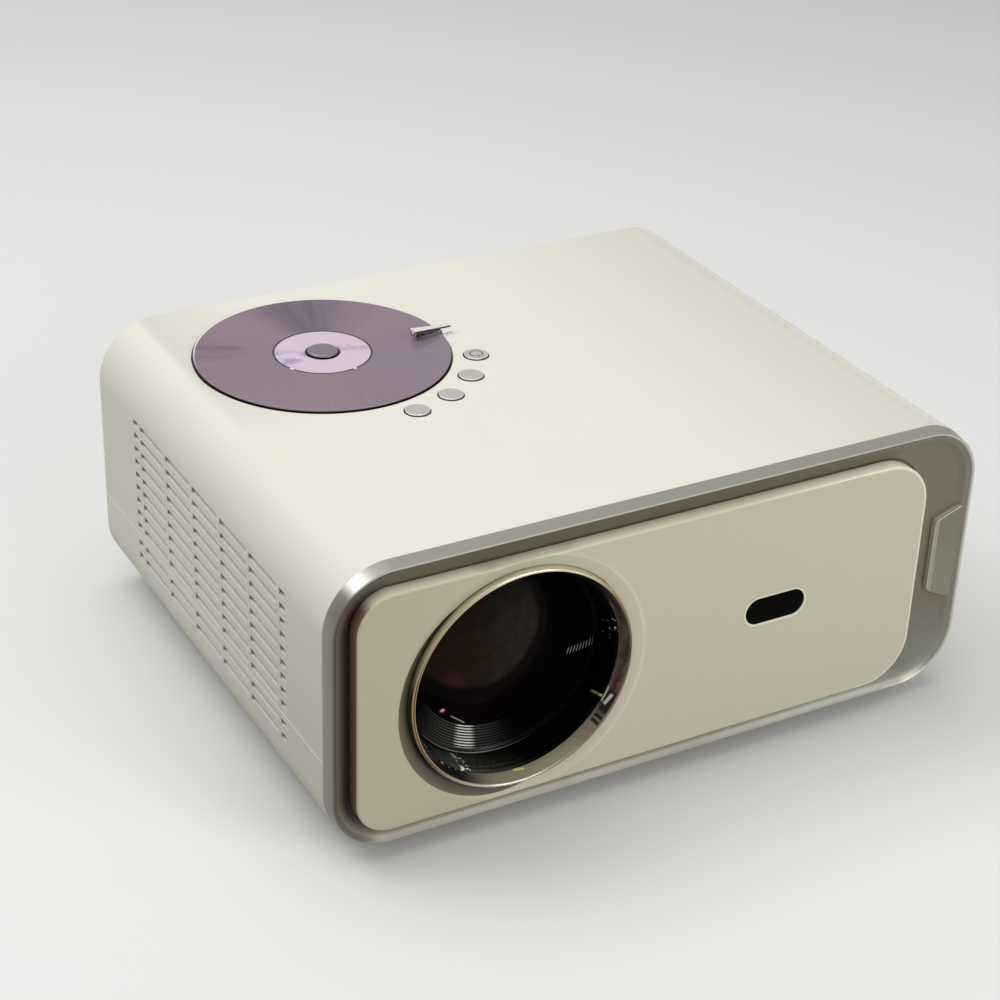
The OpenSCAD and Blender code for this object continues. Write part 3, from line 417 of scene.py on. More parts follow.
@dataclass(frozen=True)
class PolishedMetal:
    """Bright metal with hairlines and faint smudges.

    Attributes:
        name: the material's name.
        colour: reflected colour.
        rough: mean roughness.
        hairline: stretch of the scratches along X, Y and Z.
        scratch: how deep the hairlines are, in metres.
    """

    name: str
    colour: Colour
    rough: float = 0.15
    hairline: Point = (1.0, 1.0, 1.0)
    scratch: float = 0.000002

    def build(self) -> bpy.types.Material:
        """Write the material.

        Returns:
            The material.
        """
        r = Recipe(self.name)
        lines = r.noise(900.0, 3.0, 0.6, self.hairline)
        smudge_and_reflection = r.noise(45.0, 4.0)
        rough = smudge_and_reflection.step(0.4, 0.8) * 0.12 + (lines - 0.5) * 0.08 + self.rough
        dull = tuple(c * 0.82 for c in self.colour)
        colour = r.blend(smudge_and_reflection.step(0.45, 0.85) * 0.5, self.colour, dull)
        shader = r.surface(Base_Color=colour, Roughness=rough, Metallic=1.0,
                           Normal=r.bump(lines, 0.3, self.scratch))
        return r.finish(shader)


@dataclass(frozen=True)
class ClearGlass:
    """Glass or clear plastic with a faint coating colour and dust.

    Attributes:
        name: the material's name.
        colour: body colour.
        rough: mean roughness.
        see_through: transmission weight.
        coat_colour: colour of the coating's reflection.
    """

    name: str
    colour: Colour
    rough: float = 0.02
    see_through: float = 1.0
    coat_colour: Colour = (1.0, 1.0, 1.0)

    def build(self) -> bpy.types.Material:
        """Write the material.

        Returns:
            The material.
        """
        r = Recipe(self.name)
        dust = r.noise(1400.0, 2.0).step(0.68, 0.8)
        broad = r.noise(30.0, 2.0)
        colour = r.blend(broad.step(0.3, 0.8) * 0.25, self.colour, tuple(c * 0.8 for c in self.colour))
        rough = dust * 0.25 + self.rough
        shader = r.surface(Base_Color=colour, Roughness=rough, Transmission_Weight=self.see_through,
                           IOR=1.5, Specular_Tint=(*self.coat_colour, 1.0))
        return r.finish(shader)


# --------------------------------------------------------------------------- bench


class Bench:
    """Modelling steps done with Blender's own tools, in metres."""

    def clear(self) -> None:
        """Leave edit mode and deselect everything."""
        if bpy.context.object is not None and bpy.context.object.mode != "OBJECT":
            bpy.ops.object.mode_set(mode="OBJECT")
        bpy.ops.object.select_all(action="DESELECT")

    def only(self, piece: bpy.types.Object) -> None:
        """Select one piece and make it the active one.

        Args:
            piece: the piece.
        """
        self.clear()
        piece.select_set(True)
        bpy.context.view_layer.objects.active = piece

    def edit(self, piece: bpy.types.Object) -> None:
        """Open a piece in edit mode with nothing selected.

        Args:
            piece: the piece.
        """
        self.only(piece)
        bpy.ops.object.mode_set(mode="EDIT")
        bpy.ops.mesh.select_mode(type="VERT")
        bpy.ops.mesh.select_all(action="DESELECT")

    def done(self, name: str) -> bpy.types.Object:
        """Close edit mode, name the piece and set its origin to the world's."""
        bpy.ops.object.mode_set(mode="OBJECT")
        return self.done_object(bpy.context.object, name)

    def _pick(self, kind: str, fits: Callable[[Any], bool]) -> int:
        """Select the faces or edges that fit.

        Args:
            kind: FACE or EDGE.
            fits: takes a face or an edge.

        Returns:
            How many were selected.
        """
        bpy.ops.mesh.select_mode(type=kind)
        bpy.ops.mesh.select_all(action="DESELECT")
        mesh = bpy.context.object.data
        body = bmesh.from_edit_mesh(mesh)
        chosen = [part for part in (body.faces if kind == "FACE" else body.edges) if fits(part)]
        for part in chosen:
            part.select_set(True)
        bmesh.update_edit_mesh(mesh)
        return len(chosen)

    def pick_faces(self, test: Callable[[Vector, Vector], bool]) -> int:
        """Select the faces that pass a test of their centre and normal.

        Args:
            test: takes the centre and the normal.

        Returns:
            How many were selected.
        """
        return self._pick("FACE", lambda face: test(face.calc_center_median(), face.normal))

    def pick_edges(self, test: Callable[[Vector, Vector], bool]) -> int:
        """Select the edges that pass a test of their two ends.

        Args:
            test: takes the ends' places.

        Returns:
            How many were selected.
        """
        return self._pick("EDGE", lambda edge: test(edge.verts[0].co, edge.verts[1].co))

    def block(self, name: str, low: Point, high: Point) -> bpy.types.Object:
        """Add a box between two corners, in millimetres.

        Args:
            name: the piece's name.
            low: lowest corner.
            high: highest corner.

        Returns:
            The box, with its place in its mesh.
        """
        self.clear()
        centre = [(a + b) / 2 * MM for a, b in zip(low, high)]
        bpy.ops.mesh.primitive_cube_add(size=1, location=centre)
        bpy.context.object.scale = [(b - a) * MM for a, b in zip(low, high)]
        bpy.ops.object.mode_set(mode="EDIT")
        return self.done(name)

    def rounded_sheet(self, size: tuple[float, float], radius: float, segments: int = 16) -> None:
        """Start a flat sheet with round corners in the XY plane and stay in edit mode.

        Args:
            size: width and height in millimetres.
            radius: corner radius in millimetres.
            segments: pieces in each corner.
        """
        self.clear()
        bpy.ops.mesh.primitive_plane_add(size=1)
        bpy.ops.object.mode_set(mode="EDIT")
        bpy.ops.mesh.select_mode(type="VERT")
        bpy.ops.mesh.select_all(action="SELECT")
        bpy.ops.transform.resize(value=(size[0] * MM, size[1] * MM, 1))
        bpy.ops.mesh.bevel(offset=radius * MM, segments=segments, affect="VERTICES")
        bpy.ops.mesh.select_all(action="SELECT")
        bpy.ops.mesh.remove_doubles(threshold=0.00005)
        bpy.ops.mesh.select_mode(type="FACE")
        bpy.ops.mesh.select_all(action="SELECT")

    def follow(self, now: Outline, goal: Outline) -> None:
        """Move the selected loop from one rounded outline to another, corner by corner.

        Args:
            now: the outline that the loop has.
            goal: the outline that it gets.
        """
        mesh = bpy.context.object.data
        body = bmesh.from_edit_mesh(mesh)
        for vert in (v for v in body.verts if v.select):
            side = math.copysign(1, vert.co.x - now.shift * MM)
            over = math.copysign(1, vert.co.y)
            hubs = []
            for outline in (now, goal):
                radius = outline.left if side < 0 else outline.right
                hub = Vector((outline.shift + side * (outline.width / 2 - radius),
                              over * (outline.height / 2 - radius)))
                hubs.append((hub * MM, radius * MM))
            away = (vert.co.xy - hubs[0][0]).normalized()
            vert.co.xy = hubs[1][0] + away * hubs[1][1]
        bmesh.update_edit_mesh(mesh)

    def chain(self, points: Sequence[Point]) -> None:
        """Draw edges from point to point, and stay in edit mode with all of them selected.

        Args:
            points: the places in order, in millimetres.
        """
        self.clear()
        bpy.ops.mesh.primitive_plane_add(size=0.001)
        bpy.ops.object.mode_set(mode="EDIT")
        bpy.ops.mesh.select_mode(type="VERT")
        bpy.ops.mesh.select_all(action="SELECT")
        bpy.ops.mesh.merge(type="CENTER")
        bpy.ops.transform.translate(value=[v * MM for v in points[0]])
        for before, after in zip(points, points[1:]):
            move = {"value": [(b - a) * MM for a, b in zip(before, after)]}
            bpy.ops.mesh.extrude_vertices_move(TRANSFORM_OT_translate=move)
        bpy.ops.mesh.select_all(action="SELECT")

    def trace(self, points: Sequence[tuple[float, float]]) -> None:
        """Draw a closed outline in the XY plane, fill it, and stay in edit mode with it selected.

        Args:
            points: its corners in order, in millimetres.
        """
        self.chain([(x, y, 0) for x, y in points])
        bpy.ops.mesh.edge_face_add()
        bpy.ops.mesh.select_mode(type="FACE")
        bpy.ops.mesh.select_all(action="SELECT")
        bpy.ops.mesh.normals_make_consistent(inside=False)

    def grow(self, distance: float) -> None:
        """Extrude the selected faces along Z by a distance in millimetres."""
        move = {"value": (0, 0, distance * MM)}
        bpy.ops.mesh.extrude_region_move(TRANSFORM_OT_translate=move)

    def step_in(self, margin: float, depth: float = 0.0) -> None:
        """Inset the selected faces, and move them back by a depth, both in millimetres."""
        bpy.ops.mesh.inset(thickness=margin * MM, depth=-depth * MM, use_even_offset=True)

    def face_front(self, name: str, at: Point) -> bpy.types.Object:
        """Stand a piece that was made in the XY plane up, so that its +Z looks to the front.

        Args:
            name: the piece's name.
            at: where its origin goes, in millimetres.

        Returns:
            The piece.
        """
        bpy.ops.object.mode_set(mode="OBJECT")
        piece = bpy.context.object
        piece.rotation_euler = (math.radians(90), 0, 0)
        piece.location = [v * MM for v in at]
        return self.done_object(piece, name)

    def done_object(self, piece: bpy.types.Object, name: str) -> bpy.types.Object:
        """Name a piece in object mode and put its place in its mesh.

        Args:
            piece: the piece.
            name: its name.

        Returns:
            The piece.
        """
        piece.name = name
        piece.data.name = name
        bpy.ops.object.transform_apply(location=True, rotation=True, scale=True)
        return piece

    def turned(self, name: str, profile: Sequence[tuple[float, float]], centre: Point, axis: Axis,
               closed: bool = False, steps: int = 128) -> bpy.types.Object:
        """Turn a profile round an axis, as on a lathe.

        Args:
            name: the piece's name.
            profile: radius and distance along the axis of each point, in millimetres.
            centre: a point on the axis.
            axis: which way the axis points.
            closed: whether the last point joins the first.
            steps: how many parts a full turn has.

        Returns:
            The turned piece.
        """
        points = list(profile) + ([profile[0]] if closed else [])
        self.chain([(radius, 0, along) for radius, along in points])
        bpy.ops.mesh.spin(steps=steps, angle=2 * math.pi, center=(0, 0, 0), axis=(0, 0, 1))
        bpy.ops.mesh.select_all(action="SELECT")
        bpy.ops.mesh.remove_doubles(threshold=0.000002)
        bpy.ops.mesh.normals_make_consistent(inside=False)
        bpy.ops.object.mode_set(mode="OBJECT")
        piece = bpy.context.object
        if axis is Axis.FRONT:
            piece.rotation_euler = (math.radians(90), 0, 0)
        piece.location = [v * MM for v in centre]
        return self.done_object(piece, name)

    def modify(self, piece: bpy.types.Object, kind: str, **settings: Any) -> None:
        """Add a modifier and apply it.

        Args:
            piece: the piece.
            kind: the modifier's type.
            **settings: its properties.
        """
        self.only(piece)
        modifier = piece.modifiers.new(kind.title(), kind)
        for key, value in settings.items():
            setattr(modifier, key, value)
        bpy.ops.object.modifier_apply(modifier=modifier.name)

    def soften(self, piece: bpy.types.Object, width: float, segments: int = 2, angle: float = 35) -> None:
        """Round the sharp edges of a piece.

        Args:
            piece: the piece.
            width: width of the rounding in millimetres.
            segments: parts across it.
            angle: edges sharper than this, in degrees, are rounded.
        """
        self.modify(piece, "BEVEL", width=width * MM, segments=segments, limit_method="ANGLE",
                    angle_limit=math.radians(angle), use_clamp_overlap=True, harden_normals=False)

    def smooth(self, piece: bpy.types.Object, angle: float = 35) -> None:
        """Shade a piece smooth up to an angle in degrees, with its flat faces kept flat.

        Args:
            piece: the piece.
            angle: edges sharper than this stay sharp.
        """
        self.only(piece)
        bpy.ops.object.shade_smooth_by_angle(angle=math.radians(angle))
        self.modify(piece, "WEIGHTED_NORMAL", keep_sharp=True)

    def cut(self, piece: bpy.types.Object, *tools: bpy.types.Object, operation: str = "DIFFERENCE") -> None:
        """Cut a piece with others, or join them to it, and remove the others.

        Args:
            piece: the piece that stays.
            *tools: what cuts it.
            operation: Blender's Boolean operation.
        """
        for tool in tools:
            self.modify(piece, "BOOLEAN", operation=operation, object=tool, solver="EXACT")
            bpy.data.objects.remove(tool)

    def row(self, piece: bpy.types.Object, count: int, step: Point) -> None:
        """Repeat a piece along a line.

        Args:
            piece: what is repeated.
            count: how many there are.
            step: from one to the next, in millimetres.
        """
        self.modify(piece, "ARRAY", count=count, use_relative_offset=False, use_constant_offset=True,
                    constant_offset_displace=[v * MM for v in step])

    def settle(self, piece: bpy.types.Object, body: str, finish: bpy.types.Material, slot: str,
               *nodes: str) -> bpy.types.Object:
        """Give a piece its material and body, and hide the solids that it stands for.

        Args:
            piece: the finished piece.
            body: the body that it moves with.
            finish: its material.
            slot: the record's material slot; not used.
            *nodes: solids that it replaces.

        Returns:
            The piece.
        """
        piece.data.materials.clear()
        piece.data.materials.append(finish)
        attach(piece, body)
        if nodes:
            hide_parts(*nodes)
        LOG.info("%s rides on %s, %d faces", piece.name, body, len(piece.data.polygons))
        return piece


# --------------------------------------------------------------------------- sub-assemblies


@dataclass
class Casing:
    """The two casing halves, with louvres in their sides, and the rear cover. Sizes in millimetres."""

    width: float = 324.8
    front: float = -121.15
    rear: float = 132.85
    floor: float = 6.0
    top: float = 141.6
    corner: float = 29.0
    wall: float = 3.0
    seam: float = 51.3
    seam_gap: float = 0.15
    pad: float = 2.5
    slot: tuple[float, float] = (28.6, 3.2)
    short_slot: float = 5.6
    slot_step: float = 31.7
    slot_shift: float = 1.6
    row_step: float = 6.9
    upper_rows: tuple[float, int] = (113.0, 9)
    lower_rows: tuple[float, int] = (48.2, 2)
    cover_front: float = 128.35
    well: tuple[float, float, float] = (-78.3, 59.3, 60.8)
    arm_hole: tuple[float, float, float] = (-13.4, 56.55, 1.2)
    key_holes: float = 6.2
    below: tuple[tuple[float, float, float, float], ...] = (
        (118, 98, 9.0, 8), (118, -98, 9.0, 8), (128, -75, 3.4, 12), (128, 46, 3.4, 12),
        (60, -50, 3.25, 12), (60, 50, 3.25, 12))
    keys: tuple[tuple[float, float], ...] = ()

    def tube(self, bench: Bench, name: str) -> bpy.types.Object:
        """Model the casing as one open tube with round long edges.

        Args:
            bench: the modelling tools.
            name: the piece's name.

        Returns:
            The tube.
        """
        half = self.width / 2
        piece = bench.block(name, (-half, self.front, self.floor), (half, self.rear, self.top))
        bench.edit(piece)
        bench.pick_edges(lambda a, b: abs(a.y - b.y) > 0.1)
        bpy.ops.mesh.bevel(offset=self.corner * MM, segments=28, profile=0.5, affect="EDGES")
        bench.pick_faces(lambda c, n: abs(n.y) > 0.9)
        bpy.ops.mesh.delete(type="FACE")
        bpy.ops.object.mode_set(mode="OBJECT")
        bench.modify(piece, "SOLIDIFY", thickness=self.wall * MM, offset=-1, use_even_offset=True)
        return piece

    def slots(self, bench: Bench, side: int, top: float, rows: int) -> list[bpy.types.Object]:
        """Model the cutters of one side's louvres.

        Args:
            bench: the modelling tools.
            side: -1 for the left, 1 for the right.
            top: upper edge of the first row.
            rows: how many rows there are.

        Returns:
            The cutters.
        """
        inner = self.width / 2 - self.wall - self.pad - 2
        outer = self.width / 2 + 2
        low, high = (-outer, -inner) if side < 0 else (inner, outer)
        gap = self.slot_step - self.slot[0]
        span = 5 * self.slot_step - gap
        first = self.slot_shift - span / 2
        made = []
        layout = ((first, self.slot[0], 5, self.slot_step),
                  (first - gap - self.short_slot, self.short_slot, 2, span + 2 * gap + self.short_slot))
        for start, length, count, step in layout:
            tool = bench.block("slot", (low, start, top - self.slot[1]), (high, start + length, top))
            bench.row(tool, count, (0, step, 0))
            bench.row(tool, rows, (0, 0, -self.row_step))
            made.append(tool)
        return made

    def hole(self, bench: Bench, x: float, y: float, radius: float, flare: float) -> bpy.types.Object:
        """Model the cutter of a round hole in the top, with its upper edge rounded over.

        Args:
            bench: the modelling tools.
            x: place of the hole.
            y: place of the hole.
            radius: radius of the hole.
            flare: radius of the rounding.

        Returns:
            The cutter.
        """
        bend = [(radius + flare * (1 - math.cos(a)), -flare * (1 - math.sin(a)))
                for a in (math.radians(15 * i) for i in range(7))]
        profile = [(0, -10), (radius, -10), *bend, (radius + flare, 1), (0, 1)]
        return bench.turned("hole", profile, (x, y, self.top), Axis.UP, steps=192)

    def peg(self, x: float, y: float, radius: float, low: float, high: float) -> bpy.types.Object:
        """Add an upright round cutter.

        Args:
            x: place of its axis.
            y: place of its axis.
            radius: its radius.
            low: its lower end.
            high: its upper end.

        Returns:
            The cutter.
        """
        bpy.ops.object.select_all(action="DESELECT")
        bpy.ops.mesh.primitive_cylinder_add(vertices=160, radius=radius * MM, depth=(high - low) * MM,
                                            location=(x * MM, y * MM, (low + high) / 2 * MM))
        tool = bpy.context.object
        bpy.ops.object.transform_apply(location=True)
        return tool

    def half(self, bench: Bench, name: str, low: float, high: float, rows: tuple[float, int],
             pads: tuple[float, float]) -> bpy.types.Object:
        """Model one half: the tube between two heights, with its vent pads and louvres.

        Args:
            bench: the modelling tools.
            name: the piece's name.
            low: lower end.
            high: upper end.
            rows: upper edge of the first louvre row, and the number of rows.
            pads: lower and upper end of the thick pads behind the louvres.

        Returns:
            The half.
        """
        piece = self.tube(bench, name)
        reach = self.width
        keep = bench.block("keep", (-reach, -reach, low), (reach, reach, high))
        bench.cut(piece, keep, operation="INTERSECT")
        face = self.width / 2 - self.wall
        for side in (-1, 1):
            ends = sorted((side * (face - self.pad), side * (face + 1)))
            pad = bench.block("pad", (ends[0], -92, pads[0]), (ends[1], 92, pads[1]))
            bench.cut(piece, pad, operation="UNION")
            bench.cut(piece, *self.slots(bench, side, *rows))
        return piece

    def upper(self, bench: Bench) -> bpy.types.Object:
        """Model the upper half with the disc well and the holes for the arm and the keys.

        Args:
            bench: the modelling tools.

        Returns:
            The upper half.
        """
        piece = self.half(bench, "upper_casing", self.seam + self.seam_gap, self.top + 1,
                          self.upper_rows, (self.seam + self.seam_gap, 115.0))
        bench.soften(piece, 0.3, 2)
        bench.cut(piece, self.hole(bench, *self.well, 0.45), self.hole(bench, *self.arm_hole, 0.2))
        for x, y in self.keys:
            bench.cut(piece, self.hole(bench, x, y, self.key_holes, 0.35))
        bench.smooth(piece, 30)
        return piece

    def lower(self, bench: Bench) -> bpy.types.Object:
        """Model the lower half with the recesses of its feet, screws and adjuster.

        Args:
            bench: the modelling tools.

        Returns:
            The lower half.
        """
        piece = self.half(bench, "lower_casing", self.floor - 1, self.seam, self.lower_rows,
                          (26.0, self.seam))
        for side in (-1, 1):
            for x, y, radius, top in self.below:
                bench.cut(piece, self.peg(side * x, y, radius, 5, top))
        bench.cut(piece, self.peg(0, 0, 5.55, 5, 12), self.peg(0, -100, 15.5, 5, 12))
        bench.soften(piece, 0.3, 2)
        bench.smooth(piece)
        return piece

    def cover(self, bench: Bench) -> bpy.types.Object:
        """Model the rear cover with its slots and socket openings.

        Args:
            bench: the modelling tools.

        Returns:
            The cover.
        """
        width, height = self.width - 2 * self.wall - 0.4, self.top - self.floor - 2 * self.wall - 0.4
        bench.rounded_sheet((width, height), self.corner - self.wall - 0.2, 20)
        bench.grow(3.0)
        middle = (self.top + self.floor) / 2
        piece = bench.face_front("rear_plate", (0, self.cover_front + 3, middle))
        low, high = self.cover_front - 1, self.cover_front + 5
        for side in (-1, 1):
            for i in range(-4, 5):
                reach = math.sqrt(400 - (i * 4.2) ** 2)
                z = 82 + i * 4.2
                bench.cut(piece, bench.block("slot", (side * 112 - reach, low, z - 1),
                                             (side * 112 + reach, high, z + 1)))
        column, half = -2 * self.slot_step, self.slot[0] / 2
        grid = bench.block("slot", (column - half, low, 86), (column + half, high, 86 + self.slot[1]))
        bench.row(grid, 5, (self.slot_step, 0, 0))
        bench.row(grid, 4, (0, 0, self.row_step))
        bench.cut(piece, grid)
        for x0, x1, z0, z1 in ((-25.8, -10.2, 21.3, 27.9), (-1.8, 13.8, 21.3, 27.9),
                               (24.7, 39.3, 21.3, 28.9), (104.2, 131.8, 23.7, 44.3)):
            bench.cut(piece, bench.block("port", (x0, low, z0), (x1, high, z1)))
        for side in (-1, 1):
            for z in (34.0, 101.6):
                tool = bench.turned("bore", [(0, 0), (3.2, 0), (3.2, 3), (0, 3)],
                                    (side * 149, self.cover_front + 4.4, z), Axis.FRONT)
                bench.cut(piece, tool)
        bench.soften(piece, 0.3, 2)
        bench.smooth(piece)
        return piece


@dataclass
class FrontFace:
    """The metal frame, the panel with its dish, the infrared window, the tab and the trim ring."""

    rim: float = -128.15
    outer: Outline = Outline(324.8, 135.6, 29.0, 29.0)
    middle: float = 73.8
    band: float = 7.0
    crest: tuple[tuple[float, float], ...] = ((1.02, -6.72), (0.12, -0.19), (0.16, -0.09), (0.5, 0.0))
    cove: tuple[tuple[float, float], ...] = ((0.15, 0.04), (1.05, 0.91), (1.3, 0.7), (1.5, 0.55), (1.5, 0.45),
                                             (1.35, 0.35), (0.05, 0.0))
    panel: Outline = Outline(283.6, 115.2, 17.0, 22.5, -10.4)
    panel_front: float = -132.15
    seat: float = -124.55
    gap: float = 1.3
    lens: tuple[float, float] = (-74.8, 73.6)
    ring: float = 52.8
    dish: float = 58.5
    window: tuple[float, float] = (31.2, 13.1)
    window_at: tuple[float, float] = (52.5, 74.7)

    def frame_ring(self, bench: Bench) -> bpy.types.Object:
        """Model the frame from its back edge over the thin crest and down the cove to the panel's seat.

        Args:
            bench: the modelling tools.

        Returns:
            The frame.
        """
        bench.rounded_sheet((self.outer.width, self.outer.height), self.outer.left, 24)
        bpy.ops.transform.translate(value=(0, 0, -self.band * MM))
        for margin, depth in self.crest + self.cove:
            bench.step_in(margin, depth)
        floor = sum(depth for _, depth in self.cove)
        now = self.outer.grown(-sum(margin for margin, _ in self.crest + self.cove))
        bench.follow(now, self.panel.grown(self.gap))
        bench.grow(self.rim - self.seat + floor)
        bench.step_in(5 + self.gap)
        bench.grow(-self.band - (self.rim - self.seat))
        bpy.ops.mesh.delete(type="FACE")
        back = (0.01 - self.band) * MM
        bench.pick_edges(lambda a, b: a.z < back and b.z < back)
        bpy.ops.mesh.bridge_edge_loops()
        bpy.ops.mesh.select_all(action="SELECT")
        bpy.ops.mesh.normals_make_consistent(inside=False)
        piece = bench.face_front("front_surround", (0, self.rim, self.middle))
        bench.soften(piece, 0.2, 2, 65)
        bench.smooth(piece, 50)
        return piece

    def panel_plate(self, bench: Bench) -> bpy.types.Object:
        """Model the panel, its dish with the lens hole, and the window's opening.

        Args:
            bench: the modelling tools.

        Returns:
            The panel.
        """
        start = Outline(self.panel.width, self.panel.height, 20, 20)
        bench.rounded_sheet((start.width, start.height), start.left, 24)
        bench.follow(start, Outline(self.panel.width, self.panel.height, self.panel.left, self.panel.right))
        bench.grow(self.seat - self.panel_front)
        piece = bench.face_front("front_plate", (self.panel.shift, self.seat, self.middle))
        bench.soften(piece, 0.8, 4, 60)
        front, ring, dish = self.panel_front, self.ring, self.dish
        profile = [(0, 1), (dish + 1.0, 1), (dish + 0.95, 0.02), (dish + 0.5, -0.03), (dish, -0.14),
                   (dish - 0.5, -0.34), (dish - 1.1, -0.64), (ring + 1.1, -2.3), (ring + 0.5, -2.5),
                   (ring + 0.2, -2.75), (ring + 0.15, -9), (0, -9)]
        at = (self.lens[0], front, self.lens[1])
        bench.cut(piece, bench.turned("dish", profile, at, Axis.FRONT, steps=192))
        flare = ((0.2, 0.05), (0.12, 0.1), (0.08, 0.18))
        wide = sum(margin for margin, _ in flare)
        width, height = (side + 2 * wide for side in self.window)
        bench.rounded_sheet((width, height), self.window[1] / 2 + wide, 16)
        bench.grow(-1)
        for margin, depth in flare:
            bench.step_in(margin, depth)
        bench.grow(-9)
        bpy.ops.mesh.select_all(action="SELECT")
        bpy.ops.mesh.normals_make_consistent(inside=False)
        tool = bench.face_front("opening", (self.window_at[0], front - 1, self.window_at[1]))
        bench.cut(piece, tool)
        bench.smooth(piece, 40)
        return piece

    def window_lens(self, bench: Bench) -> bpy.types.Object:
        """Model the infrared window as a gently crowned oval that fills its opening.

        Args:
            bench: the modelling tools.

        Returns:
            The window.
        """
        bench.rounded_sheet((self.window[0] - 0.06, self.window[1] - 0.06), self.window[1] / 2 - 0.03, 16)
        bench.grow(3.55)
        for margin, depth in ((0.12, -0.1), (0.3, -0.1), (1.2, -0.1), (2.2, -0.06)):
            bench.step_in(margin, depth)
        at = (self.window_at[0], self.panel_front + 4, self.window_at[1])
        piece = bench.face_front("infrared_window", at)
        bench.smooth(piece, 50)
        return piece

    def tab(self, bench: Bench) -> bpy.types.Object:
        """Model the silver tab: its outline raised from the cove, with a rounded edge that its finish paints
        bright as a highlight.

        Args:
            bench: the modelling tools.

        Returns:
            The tab.
        """
        outline = [(142.7, 58.0), (142.95, 57.2), (143.9, 56.2), (149.0, 53.2), (157.0, 49.8), (157.0, 98.7),
                   (144.6, 94.0), (143.3, 93.0), (142.7, 91.2)]
        bench.trace([(x, z - self.middle) for x, z in outline])
        bench.grow(3.0)
        piece = bench.face_front("silver_tab", (0, self.rim + 3.3, self.middle))
        bench.soften(piece, 0.45, 3, 40)
        bench.smooth(piece, 40)
        return piece

    def trim_ring(self, bench: Bench) -> bpy.types.Object:
        """Model the polished ring as a turned piece with a thin rolled front edge.

        Args:
            bench: the modelling tools.

        Returns:
            The ring.
        """
        r = self.ring
        profile = [(r - 1.12, 4.7), (r - 0.7, 4.67), (r - 0.35, 4.5), (r - 0.08, 4.1), (r, 3.6), (r, -3),
                   (50.1, -3), (50.1, -1.6), (49.3, -1.5), (49.12, -1.1), (50.25, 1.7), (51.1, 4.1),
                   (r - 1.55, 4.45),
                   (r - 1.4, 4.63)]
        piece = bench.turned("trim_ring", profile, (self.lens[0], self.rim, self.lens[1]), Axis.FRONT,
                             closed=True, steps=192)
        bench.smooth(piece, 55)
        return piece


@dataclass
class LensGroup:
    """The dark tube, the ribbed baffle and the front glass."""

    rim: float = -128.15
    lens: tuple[float, float] = (-74.8, 73.6)
    glass: float = 37.25
    curve: float = 105.0
    ribs: int = 8

    def at(self, depth: float = 0.0) -> Point:
        """Point on the axis, a depth behind the rim."""
        return (self.lens[0], self.rim + depth, self.lens[1])

    def tube(self, bench: Bench) -> bpy.types.Object:
        """Model the fixed tube with its fine step near the mouth.

        Args:
            bench: the modelling tools.

        Returns:
            The tube.
        """
        profile = [(48.6, -1.6), (50, -1.6), (50, -3), (54, -3), (54, -5), (50, -5), (50, -32), (40.6, -32),
                   (40.6, -30), (48, -30), (48, -5.2), (48.25, -4.8), (48.25, -3.4), (48, -3.0), (48, -2.2)]
        piece = bench.turned("dark_tube", profile, self.at(), Axis.FRONT, closed=True, steps=192)
        bench.smooth(piece, 30)
        return piece

    def baffle(self, bench: Bench) -> bpy.types.Object:
        """Model the barrel's front: a rolled edge, a dark slope and fine round ribs down to the glass.

        Args:
            bench: the modelling tools.

        Returns:
            The baffle.
        """
        front = -14.6
        profile: list[tuple[float, float]] = [(47.5, front - 9), (47.5, front - 0.5), (47.35, front - 0.15),
                                              (47.0, front), (46.65, front - 0.2), (46.5, front - 0.7),
                                              (45.2, front - 1.3)]
        low, high = 37.4, 45.2
        pitch = (high - low) / self.ribs
        fall = 5.4 / self.ribs
        for i in range(self.ribs):
            r, z = high - i * pitch, front - 1.3 - i * fall
            profile += [(r - pitch * 0.2, z - fall * 1.05), (r - pitch * 0.38, z - fall * 0.62),
                        (r - pitch * 0.62, z - fall * 0.48), (r - pitch * 0.85, z - fall * 0.62)]
        profile += [(37.32, front - 7.0), (37.32, front - 12), (35.3, front - 15), (33.3, -66), (30.1, -66),
                    (30.1, -76), (40, -76), (40, front - 9)]
        piece = bench.turned("ribbed_barrel", profile, self.at(), Axis.FRONT, closed=True, steps=192)
        bench.smooth(piece, 42)
        return piece

    def front_glass(self, bench: Bench) -> bpy.types.Object:
        """Model the domed front glass with its ground edge.

        Args:
            bench: the modelling tools.

        Returns:
            The glass.
        """
        profile = []
        rise = self.curve - math.sqrt(self.curve ** 2 - self.glass ** 2)
        for i in range(15):
            r = self.glass * i / 14
            fall = self.curve - math.sqrt(self.curve ** 2 - r ** 2)
            profile.append((r, -21.4 + rise - fall))
        profile += [(self.glass, -22.1), (self.glass, -29.0), (0, -27.5)]
        piece = bench.turned("front_glass", profile, self.at(), Axis.FRONT, steps=128)
        bench.smooth(piece, 30)
        return piece


